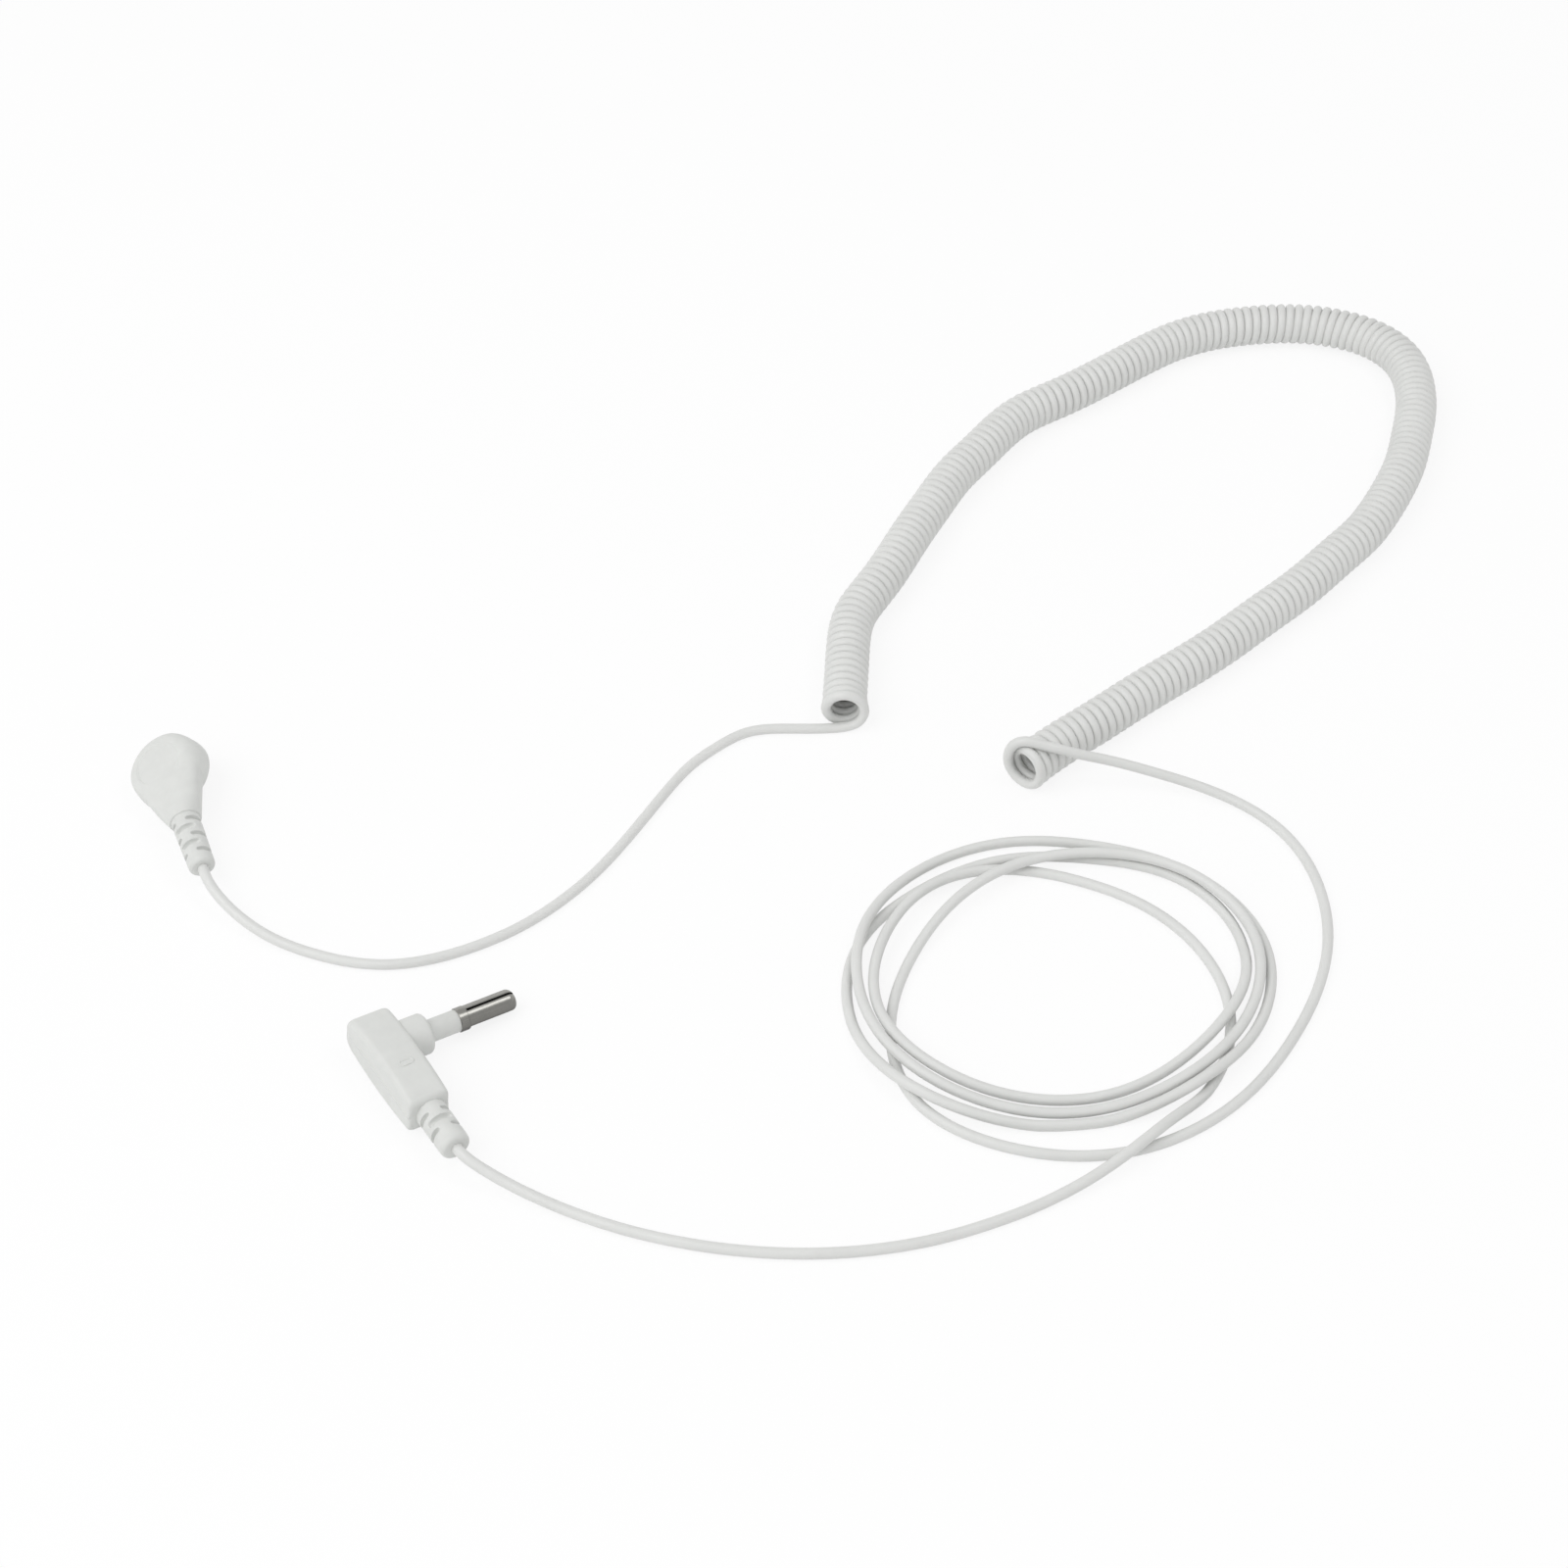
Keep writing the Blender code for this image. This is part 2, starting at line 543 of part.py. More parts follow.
def contact_tube(frame, mat):
    """Springy slotted sleeve of the 4 mm pin: a base ring and three leaves."""
    nose = TUBE_NOSE_R
    profile = [(SHANK_R + GAP, TUBE_START_Y), (TUBE_R, TUBE_START_Y), (TUBE_R, TUBE_END_Y - nose)]
    profile += fillet_points(TUBE_R, TUBE_END_Y - nose, TUBE_R - nose, TUBE_END_Y, 5)
    profile += [(TUBE_R - nose, TUBE_END_Y), (0.7, TUBE_END_Y), (0.7, TUBE_END_Y - 0.4),
                (1.5, TUBE_END_Y - 1.0), (1.5, TUBE_START_Y + 1.2), (SHANK_R + GAP, TUBE_START_Y + 1.0)]
    pin = solid("contact_tube", *revolve(profile, "Y", 48), mat)
    for angle, width in ((9.0, 0.34), (129.0, 1.3), (249.0, 0.34)):
        low = (-0.5 * width, TUBE_SLOT_START_Y, 0.2)
        high = (0.5 * width, TUBE_END_Y + 1.0, 3.0)
        slot = solid("tool", *box(low, high))
        slot.data.transform(Matrix.Rotation(math.radians(angle), 4, "Y"))
        combine(pin, "DIFFERENCE", slot)
    return place(pin, frame)


def build_plug(mats):
    frame = plug_frame()
    plug_half_shell("plug_shell_upper", 1, frame, mats["plug_shell_upper"])
    plug_half_shell("plug_shell_lower", -1, frame, mats["plug_shell_lower"])
    pin_insulator(frame, mats["pin_insulator"])
    contact_shank(frame, mats["contact_shank"])
    contact_tube(frame, mats["contact_tube"])
    make_node("plug_crimp_ferrule", *tube(0.9, 0.6, 1.3, 5.2, "X"), frame, mats["plug_crimp_ferrule"])
    make_node("plug_conductor", *rod(THIN_WIRE_R, 1.7, 7.7, "X", 16), frame, mats["plug_conductor"])
    tail = rod(CORD_R, 8.0, PLUG_RELIEF_END - GAP, "X")
    make_node("plug_jacket_tail", *tail, frame, mats["plug_jacket_tail"])
    strain_relief("plug_strain_relief", PLUG_RELIEF_START, PLUG_RELIEF_END, 2.6, 2.5,
                  (17.05, 20.9), (18.95,), frame, mats["plug_strain_relief"])


# ---- cord -----------------------------------------------------------------------------------------
def natural_spline(points, samples):
    """Smooth curve through the points: a natural cubic spline over chord length."""
    knots = np.array(points, dtype=float)
    count = len(knots)
    step = np.linalg.norm(np.diff(knots, axis=0), axis=1)
    system = np.eye(count)
    right = np.zeros_like(knots)
    for i in range(1, count - 1):
        system[i, i - 1] = step[i - 1]
        system[i, i] = 2.0 * (step[i - 1] + step[i])
        system[i, i + 1] = step[i]
        after = (knots[i + 1] - knots[i]) / step[i]
        before = (knots[i] - knots[i - 1]) / step[i - 1]
        right[i] = 6.0 * (after - before)
    bend = np.linalg.solve(system, right)
    curve = []
    for i in range(count - 1):
        for k in range(samples):
            b = step[i] * k / samples
            a = step[i] - b
            cubic = (bend[i] * a ** 3 + bend[i + 1] * b ** 3) / (6.0 * step[i])
            start = (knots[i] / step[i] - bend[i] * step[i] / 6.0) * a
            end = (knots[i + 1] / step[i] - bend[i + 1] * step[i] / 6.0) * b
            curve.append(cubic + start + end)
    curve.append(knots[-1])
    return np.array(curve)


def plug_lead_route():
    route = list(PLUG_LEAD_IN)
    bearing = LOOP_FIRST_BEARING
    for turn in LOOP_TURNS:
        for radius, height in turn:
            a = math.radians(bearing)
            x = LOOP_CENTRE[0] + radius * math.cos(a)
            y = LOOP_CENTRE[1] + radius * math.sin(a)
            route.append((x, y, height))
            bearing += LOOP_STEP
    return route + PLUG_LEAD_OUT


def cord_node(name, points, radius, lowest, resolution, mat):
    """A round tube along the points, as a bevelled curve with closed ends."""
    data = bpy.data.curves.new(name, "CURVE")
    data.dimensions = "3D"
    data.bevel_depth = radius * MM
    data.bevel_resolution = resolution
    data.use_fill_caps = True
    spline = data.splines.new("POLY")
    spline.points.add(len(points) - 1)
    for slot, point in zip(spline.points, points):
        x, y, z = (point[i] + ROW_SHIFT[i] for i in range(3))
        slot.co = (x * MM, y * MM, max(z, lowest) * MM, 1.0)
    obj = bpy.data.objects.new(name, data)
    data.materials.append(mat)
    bpy.context.collection.objects.link(obj)
    return obj


def build_cord(mats):
    lead = natural_spline(SNAP_LEAD, 2)
    cord_node("snap_lead", lead, CORD_R, CORD_R, 2, mats["snap_lead"])
    axis = natural_spline([(x, y, COIL_AXIS_Z) for x, y in COIL_AXIS], 2)
    cord_node("coiled_section", axis, COIL_OUTER_R, COIL_OUTER_R, 4, mats["coiled_section"])
    lead = natural_spline(plug_lead_route(), 1)
    cord_node("plug_lead", lead, CORD_R, CORD_R, 2, mats["plug_lead"])


MOULDED_GREY = (0.70, 0.71, 0.695)
CORD_GREY = (0.69, 0.70, 0.685)
NICKEL = (0.66, 0.65, 0.62)
TINNED = (0.72, 0.72, 0.70)
COPPER = (0.80, 0.47, 0.30)
STEEL = (0.58, 0.58, 0.58)

FINISH = {
    "snap_head_overmould": (MOULDED_GREY, 0.55, 0.0),
    "snap_strain_relief": (MOULDED_GREY, 0.55, 0.0),
    "stud_socket_cup": (NICKEL, 0.25, 1.0),
    "spring_wire_left": (STEEL, 0.30, 1.0),
    "spring_wire_right": (STEEL, 0.30, 1.0),
    "socket_rivet": (NICKEL, 0.30, 1.0),
    "contact_washer": (TINNED, 0.35, 1.0),
    "resistor_body": ((0.62, 0.52, 0.36), 0.45, 0.0),
    "resistor_lead_front": (TINNED, 0.35, 1.0),
    "resistor_lead_rear": (TINNED, 0.35, 1.0),
    "snap_crimp_ferrule": (TINNED, 0.35, 1.0),
    "snap_conductor": (COPPER, 0.40, 1.0),
    "snap_jacket_tail": (CORD_GREY, 0.50, 0.0),
    "plug_shell_upper": (MOULDED_GREY, 0.50, 0.0),
    "plug_shell_lower": (MOULDED_GREY, 0.50, 0.0),
    "pin_insulator": (MOULDED_GREY, 0.50, 0.0),
    "contact_shank": (NICKEL, 0.30, 1.0),
    "contact_tube": (NICKEL, 0.20, 1.0),
    "plug_crimp_ferrule": (TINNED, 0.35, 1.0),
    "plug_conductor": (COPPER, 0.40, 1.0),
    "plug_jacket_tail": (CORD_GREY, 0.50, 0.0),
    "plug_strain_relief": (MOULDED_GREY, 0.55, 0.0),
    "snap_lead": (CORD_GREY, 0.50, 0.0),
    "coiled_section": (CORD_GREY, 0.50, 0.0),
    "plug_lead": (CORD_GREY, 0.50, 0.0)}


def main():
    clear_scene()
    mats = {name: material(name, *finish) for name, finish in FINISH.items()}
    build_snap_end(mats)
    build_plug(mats)
    build_cord(mats)


main()
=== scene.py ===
"""Dressed model of the wrist strap ground cord: moulded snap end, curly cord, banana plug.

Lengths are in millimetres until a piece is placed. Three frames are used, as in the solid model:
  bench  X right, Y away, Z up, the cord lying on the plane Z = 0
  head   X along the neck of the snap end towards the cord, Z out of its round top face
  plug   X along the plug body towards the cord, Y along the pin towards its tip, Z up
The row frame is the bench moved by ROW_SHIFT, in metres.
"""
import math

import bmesh
import bpy
import numpy as np
from mathutils import Matrix, Vector

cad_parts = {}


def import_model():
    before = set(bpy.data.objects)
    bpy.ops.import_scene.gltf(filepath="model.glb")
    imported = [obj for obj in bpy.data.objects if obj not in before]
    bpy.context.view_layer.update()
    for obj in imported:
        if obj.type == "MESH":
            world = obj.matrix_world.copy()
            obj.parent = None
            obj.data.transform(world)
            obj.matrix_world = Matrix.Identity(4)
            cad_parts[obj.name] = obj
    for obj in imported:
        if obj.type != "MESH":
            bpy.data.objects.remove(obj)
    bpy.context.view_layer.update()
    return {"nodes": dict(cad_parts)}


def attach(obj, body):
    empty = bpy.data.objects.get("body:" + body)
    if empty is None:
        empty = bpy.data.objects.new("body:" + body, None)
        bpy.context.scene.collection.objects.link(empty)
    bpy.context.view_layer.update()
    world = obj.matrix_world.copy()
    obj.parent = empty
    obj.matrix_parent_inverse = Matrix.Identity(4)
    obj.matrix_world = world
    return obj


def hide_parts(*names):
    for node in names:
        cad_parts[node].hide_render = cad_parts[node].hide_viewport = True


MM = 0.001
ROW_SHIFT = (104.317, 9.083, 0.0)

# ---- cord ------------------------------------------------------------------------------------
CORD_R = 0.9
CORD_SIDES = 6                    # bevel resolution of the cord's round section
SNAP_SAMPLES = 10                 # points of the curve between two points of a route
PLUG_SAMPLES = 14
COIL_R = 3.12                     # centre of the cord to the coil's axis
COIL_PITCH = 1.8
COIL_STEPS = 24                   # points in one turn
COIL_LIFT = 0.03                  # gap between the coil and the bench
COIL_CUT = (3, 6)                 # points left off the helix where the far and the near lead join it
COIL_JOIN = (0, 2, 4, 6)          # points of the helix that a lead's curve starts from
FLARE_FAR = 0.33                  # the last turns open a little
FLARE_NEAR = 0.3
FLARE_LENGTH = 4.0
TAIL_OVERLAP = 0.28               # the cord starts this far inside the reliefs' mouths

SNAP_LEAD = [
    (-97.47, -23.53, 4.49), (-96.65, -25.45, 4.3), (-93.9, -29.3, 3.3), (-90.1, -32.8, 2.2),
    (-85.0, -36.2, 1.3), (-78.9, -39.0, 0.9), (-72.0, -41.2, 0.9), (-64.8, -41.9, 0.9),
    (-57.6, -40.6, 0.9), (-50.6, -37.7, 0.9), (-43.9, -33.6, 0.9), (-38.0, -28.4, 0.9),
    (-32.8, -22.4, 0.9), (-28.5, -16.0, 0.9), (-24.4, -8.9, 0.9), (-20.1, -1.2, 0.9),
    (-16.0, 5.0, 0.9), (-11.5, 9.5, 0.9), (-6.4, 13.0, 0.9), (-0.4, 13.9, 0.9),
    (6.0, 13.9, 0.9), (9.0, 14.1, 0.9)]

COIL_AXIS = [
    (40.5, -0.7), (48.1, 6.6), (54.3, 11.7), (63.4, 19.5), (72.7, 27.0), (78.9, 32.3), (87.6, 40.6),
    (96.1, 48.8), (104.0, 57.7), (109.1, 63.6), (113.5, 70.4), (117.3, 77.6), (120.5, 85.0),
    (122.9, 93.0), (124.9, 100.8), (125.9, 109.2), (124.7, 117.9), (120.2, 124.4), (113.6, 128.2),
    (106.0, 130.0), (94.1, 129.3), (86.4, 127.4), (79.0, 123.9), (72.4, 119.2), (63.2, 111.8),
    (53.6, 104.7), (47.1, 100.1), (41.8, 94.0), (37.3, 87.5), (32.8, 81.0), (29.1, 73.9),
    (23.7, 62.8), (18.7, 51.8), (15.0, 44.9), (13.3, 41.4), (11.7, 33.1), (11.2, 24.8),
    (10.8, 16.8), (10.8, 13.5)]

PLUG_LEAD_IN = [
    (39.1, 2.5, 6.4), (39.9, 2.3, 8.3), (41.5, 2.1, 9.2), (43.5, 1.7, 9.1),
    (45.6, 1.35, 8.7), (47.7, 1.2, 8.2), (49.9, 1.1, 7.5), (56.0, 1.2, 5.6), (64.0, 0.4, 3.5),
    (72.5, -1.8, 1.9)]
LOOP_CENTRE = (44.5, -46.5)
LOOP_FIRST_BEARING = 45           # in degrees
LOOP_STEP = -30
# The four and a bit loops of the hank, turned clockwise: (radius, height) at each 30 degree step
LOOP_TURNS = [
    [(54.1, 0.9), (47.4, 0.9), (39.1, 0.9), (36.0, 0.9), (35.2, 0.9), (34.6, 0.9),
     (33.7, 0.9), (28.2, 0.9), (24.2, 1.2), (23.4, 2.7), (25.2, 3.4), (29.1, 2.9)],
    [(33.3, 2.9), (34.4, 2.4), (31.0, 2.7), (28.1, 3.1), (26.5, 1.4), (27.3, 1.5),
     (29.9, 3.0), (31.9, 2.9), (33.1, 3.3), (33.2, 1.8), (33.1, 0.9), (32.7, 0.9)],
    [(35.0, 0.9), (36.1, 0.9), (33.2, 1.6), (30.3, 3.4), (28.7, 1.0), (29.8, 1.2),
     (33.2, 3.1), (34.5, 1.0), (33.4, 0.9), (30.2, 0.9), (29.2, 0.9), (29.5, 0.9)],
    [(32.7, 0.9), (32.4, 0.9), (28.1, 3.1), (24.4, 1.4), (23.8, 1.0), (24.4, 1.1),
     (27.2, 2.6), (29.9, 3.0), (29.5, 2.8), (28.6, 2.9), (26.6, 1.2), (23.8, 0.9)],
    [(23.8, 0.9), (25.6, 0.9), (28.5, 0.9), (31.4, 0.9)]]
PLUG_LEAD_OUT = [
    (61.0, -75.0, 2.7), (54.6, -81.2, 3.4), (47.5, -86.2, 2.1), (36.0, -92.2, 0.9),
    (22.0, -97.4, 0.9), (7.0, -99.7, 0.9), (-8.5, -99.0, 0.9), (-24.0, -95.4, 0.9),
    (-37.5, -90.0, 1.6), (-45.8, -85.9, 3.2), (-50.25, -82.53, 4.4)]

# ---- snap end --------------------------------------------------------------------------------
HEAD_CENTRE = (-106.67, -1.36, 6.0)
HEAD_YAW = -67.47                 # all turns are in degrees
HEAD_PITCH = 3.6
HEAD_ROLL = 27.0
DISC_R = 6.9
DISC_TOP_Z = 1.9
DISC_BOTTOM_Z = -3.35
DISC_SIDE_TAPER = 0.2
DISC_BOTTOM_CHAMFER = 0.45
DISC_FOOT_HEIGHT = 1.6            # the side leans inwards above this height over the foot
DISC_TOP_FILLET = 1.65
DISC_STEPS = 128
DISC_FILLET_STEPS = 12
SOFT_SIDE_WIDTH = 1.5             # the upper edge is this much rounder on the +Y side
SOFT_SIDE_DROP = 1.1
SOFT_SIDE_TURN = 0.35             # in radians
PANEL_CENTRE = (-0.4, -0.45)
PANEL_R = 4.1
PANEL_DEPTH = 0.16
PANEL_GROOVE = 0.09               # fine line pressed in round the panel
PANEL_GROOVE_WIDTH = 0.17
PANEL_EDGE = 0.14
PANEL_FADE_X = 3.6                # the panel runs out into the neck here
PANEL_FADE_LENGTH = 3.0
HEAD_CAVITY_R = 5.3
HEAD_CAVITY_TOP_Z = 0.9
TOP_SKIN_Z = 0.4                  # what lies this far above the cavity is the outside of the top
NECK_START_X = 2.7
NECK_START_HALF_WIDTH = 5.8
NECK_SINK = 0.02                  # the neck's root stays this far below the faces of the disc
NECK_END_X = 12.93
NECK_END_R = 2.8
NECK_BORE_R = 1.5
NECK_BORE_START_X = 3.0
NECK_STATIONS = 25
NECK_SIDES = 64
NECK_POWER = 0.55                 # below 1, a section of the neck's root is squarer than an ellipse
NECK_SOFT_POWER = 0.82            # on its upper +Y side
NECK_TOP_TAPER = 1.27             # above 1, the upper side turns round later along the neck
RESISTOR_START_X = 6.5
RESISTOR_LENGTH = 5.0
HEAD_VOXEL = 0.13
HEAD_SMOOTHING = 12
HEAD_BLENDING = 140

# ---- strain reliefs --------------------------------------------------------------------------
RELIEF_MOUTH_R = 0.93
RELIEF_MOUTH_DEPTH = 0.1
RELIEF_COLLAR = 1.2               # length of the plain ring at the free end
RELIEF_RIM_R = 0.7
RELIEF_VOXEL = 0.08
RELIEF_SMOOTHING = 5
SIDE_SLOT = (67.0, 0.44, 1.0)     # half span in degrees, half width, depth
TOP_SLOT = (54.0, 0.55, 0.95)
SLOT_CLEARANCE = 0.12             # the slot's cutter is centred this far outside the surface
# From X, to X, radius at each, middles of the side slots and of the top slots, turn of the slots
SNAP_RELIEF = (12.75, 24.05, 2.5, 2.27, (14.3, 17.9, 21.5), (16.1, 19.7), 0.0)
PLUG_RELIEF = (15.1, 23.65, 2.6, 2.5, (17.0, 20.45), (18.8,), -8.0)

# ---- plug ------------------------------------------------------------------------------------
PLUG_CENTRE = (-63.13, -62.70, 4.40)
PLUG_YAW = -57.0
PLUG_DROOP = 6.2
BODY_START_X = -6.3
BODY_END_X = 15.2
BODY_LEFT_Y = -3.75
BODY_RIGHT_Y = 3.3
BODY_MID_HALF_THICKNESS = 4.14
BODY_END_HALF_THICKNESS = 3.2
BODY_EDGE_R = 1.1
BODY_BACK_R = 2.0                 # the end away from the cord is rounder, seen from the side
BODY_FRONT_R = 0.95
BODY_CORNER_R = 0.6               # seen from above
BODY_STATIONS = 24                # steps along the body between its rounded ends
STATION_ANGLES = (8, 20, 32, 45, 58, 72, 90)
PARTING_HALF_GAP = 0.004
PARTING_STEP = 0.05               # the lower half stands proud of the upper one
PARTING_SOFT = 0.07
COLLAR_R = 3.4
COLLAR_END_Y = 7.4
COLLAR_RIM_R = 0.8
COLLAR_SINK = 0.9                 # how far the collar reaches into the body
SLEEVE_R = 1.875
SLEEVE_START_Y = 2.0
SLEEVE_END_Y = 12.9
STEM_HOLE = (1.9, 4.5)            # the hole for the sleeve's root, from Y to Y
STEM_PLAY = 0.02
SHANK_R = 0.95
SHANK_PLAY = 0.3                  # the sleeves stand this far off the shank
TUBE_R = 2.04
TUBE_WALL = 0.43
LEAF_R = 1.94                     # the three leaves are a little slimmer than their base ring
LEAF_START_Y = 14.3
LEAF_SLOTS = ((6.0, 0.46), (129.0, 1.9), (246.0, 0.46))    # angle, width
TUBE_START_Y = 12.75
TUBE_END_Y = 23.15
TUBE_NOSE = 1.2
MARK_X = 7.4                      # small raised oval on top of the plug body
MARK_Y = -0.2
MARK_HALF_LENGTH = 1.15
MARK_HALF_WIDTH = 0.5
MARK_RIB_R = 0.18
MARK_RIB_SHAPE = (1.15, 0.8)      # the rib's half width and height as shares of its radius
MARK_SIDES = 10
MARK_STEPS = 56

# ---- colours ---------------------------------------------------------------------------------
MOULDED = (0.70, 0.71, 0.69)
JACKET = (0.72, 0.725, 0.71)
NICKEL = (0.62, 0.61, 0.57)
# The pin's nickel is a darker copy of NICKEL: painted shade standing in for the dark surroundings that the
# pin reflects.
PIN_NICKEL_PAINTED_SHADE = (0.37, 0.365, 0.345)
TIN = (0.72, 0.72, 0.70)
STEEL = (0.58, 0.58, 0.58)
COPPER = (0.80, 0.47, 0.30)
ENAMEL = (0.62, 0.52, 0.36)

# ---- view, floor and light, in metres --------------------------------------------------------
CAMERA_PLACE = (0.104317, -0.353157, 0.36314)
CAMERA_TILT = 45.0
CAMERA_LENS = 67.5
CAMERA_SENSOR = 36.0
FLOOR_CENTRE = (0.104, 0.01)
FLOOR_HALF = 3.0
FLOOR_Z = -0.00002                # just under the cord, so that the two never share a plane
FLOOR_WHITE_SHARE = 0.85          # how much of the floor is seen as plain white
GLOW_DIRECTION = (-0.87, -0.48, 0.0)
GLOW_RANGE = (0.59, 0.70)         # glow from the side away from that direction, and from it
WALL_TOP = (0.34, 0.57)           # between these heights of the view the white walls turn to ceiling
CEILING_GREY = 0.7
LIGHT_AIM = (0.05, -0.05, 0.004)
# Place, side of the square, watts
KEY_LAMP = ((-0.45, -0.30, 0.83), 0.8, 3.95)
PIN_LAMP = ((0.466, 0.019, 0.745), 0.32, 0.72)


# ---- frames and small helpers ----------------------------------------------------------------
def bench_matrix(centre, yaw, tilt):
    return Matrix.Translation(Vector(centre)) @ Matrix.Rotation(math.radians(yaw), 4, "Z") @ tilt


def row_matrix(frame_matrix):
    """Where a local frame stands in the row frame, in metres."""
    moved = Matrix.Translation(Vector(ROW_SHIFT)) @ frame_matrix
    return Matrix.LocRotScale(moved.translation * MM, moved.to_quaternion(), None)


HEAD_TILT = (Matrix.Rotation(math.radians(HEAD_PITCH), 4, "Y")
             @ Matrix.Rotation(math.radians(HEAD_ROLL), 4, "X"))
HEAD_FRAME = row_matrix(bench_matrix(HEAD_CENTRE, HEAD_YAW, HEAD_TILT))
PLUG_FRAME = row_matrix(bench_matrix(
    PLUG_CENTRE, PLUG_YAW, Matrix.Rotation(math.radians(-PLUG_DROOP), 4, "X")))


def exit_direction(frame_matrix):
    """The frame's X axis on the bench, which points out of its relief along the cord."""
    return np.array(frame_matrix.to_3x3().col[0])


def to_row(points):
    return (np.array(points, dtype=float) + np.array(ROW_SHIFT)) * MM


def smooth_step(x):
    x = min(max(x, 0.0), 1.0)
    return x * x * (3.0 - 2.0 * x)


def link(obj):
    bpy.context.collection.objects.link(obj)
    return obj


def solid(name, verts, faces):
    """One closed body in millimetres of its own frame."""
    mesh = bpy.data.meshes.new(name)
    mesh.from_pydata([tuple(v) for v in verts], [], [tuple(f) for f in faces])
    bm = bmesh.new()
    bm.from_mesh(mesh)
    bmesh.ops.remove_doubles(bm, verts=bm.verts, dist=1e-6)
    bmesh.ops.recalc_face_normals(bm, faces=bm.faces)
    bm.to_mesh(mesh)
    bm.free()
    return link(bpy.data.objects.new(name, mesh))


def apply_modifiers(obj):
    bpy.context.view_layer.update()
    graph = bpy.context.evaluated_depsgraph_get()
    result = bpy.data.meshes.new_from_object(obj.evaluated_get(graph))
    obj.modifiers.clear()
    old = obj.data
    obj.data = result
    bpy.data.meshes.remove(old)
    return obj


def combine(obj, operation, tool):
    mod = obj.modifiers.new("combine", "BOOLEAN")
    mod.operation = operation
    mod.solver = "EXACT"
    mod.object = tool
    apply_modifiers(obj)
    bpy.data.objects.remove(tool, do_unlink=True)
    return obj


def soften(obj, voxel, passes, factor=0.5):
    """Remesh evenly and smooth, which rounds every edge by about the voxel times the passes."""
    mod = obj.modifiers.new("remesh", "REMESH")
    mod.mode = "VOXEL"
    mod.voxel_size = voxel
    mod.adaptivity = 0.0
    mod = obj.modifiers.new("smooth", "SMOOTH")
    mod.factor = factor
    mod.iterations = passes
    return apply_modifiers(obj)


def finish_piece(obj, place, body, mat, nodes=(), smooth_angle=None):
    """Bring a piece to metres, stand it in its frame and tie it to its body."""
    obj.data.transform(Matrix.Scale(MM, 4))
    obj.matrix_world = place
    obj.data.shade_smooth()
    if smooth_angle is not None:
        obj.data.set_sharp_from_angle(angle=math.radians(smooth_angle))
    obj.data.materials.clear()
    obj.data.materials.append(mat)
    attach(obj, body)
    if nodes:
        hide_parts(*nodes)
    return obj


# ---- shape builders: each returns (verts, faces) ---------------------------------------------
AXES = {"X": ((1, 0, 0), (0, 1, 0), (0, 0, 1)),
        "Y": ((0, 1, 0), (0, 0, 1), (1, 0, 0)),
        "Z": ((0, 0, 1), (1, 0, 0), (0, 1, 0))}


def revolve(profile, axis, segments=96):
    """Turn a closed outline of (radius, position along axis) points about the axis."""
    along, side, up = (Vector(v) for v in AXES[axis])
    verts = []
    rings = []
    for radius, position in profile:
        if radius < 1e-6:
            verts.append(along * position)
            rings.append([len(verts) - 1] * segments)
            continue
        ring = []
        for k in range(segments):
            a = 2.0 * math.pi * k / segments
            verts.append(along * position + radius * (side * math.cos(a) + up * math.sin(a)))
            ring.append(len(verts) - 1)
        rings.append(ring)
    faces = []
    for i, lower in enumerate(rings):
        upper = rings[(i + 1) % len(rings)]
        if lower[0] == lower[1] and upper[0] == upper[1]:
            continue
        for k in range(segments):
            n = (k + 1) % segments
            corner = []
            for v in (lower[k], lower[n], upper[n], upper[k]):
                if v not in corner:
                    corner.append(v)
            faces.append(corner)
    return verts, faces


def loft(sections):
    """Skin closed rings of equal point count and cap both ends."""
    verts = [Vector(p) for ring in sections for p in ring]
    n = len(sections[0])
    faces = []
    for s in range(len(sections) - 1):
        for k in range(n):
            m = (k + 1) % n
            faces.append((s * n + k, s * n + m, (s + 1) * n + m, (s + 1) * n + k))
    last = (len(sections) - 1) * n
    faces.append(tuple(reversed(range(n))))
    faces.append(tuple(last + k for k in range(n)))
    return verts, faces


def box(low, high):
    corner = [(x, y, z) for z in (low[2], high[2]) for y in (low[1], high[1]) for x in (low[0], high[0])]
    faces = [(0, 2, 3, 1), (4, 5, 7, 6), (0, 1, 5, 4), (2, 6, 7, 3), (0, 4, 6, 2), (1, 3, 7, 5)]
    return corner, faces


def arc(centre, radius, first, last, steps):
    """Points of a circular arc of an outline, angles in degrees, both ends included."""
    points = []
    for i in range(steps + 1):
        a = math.radians(first + (last - first) * i / steps)
        points.append((centre[0] + radius * math.cos(a), centre[1] + radius * math.sin(a)))
    return points


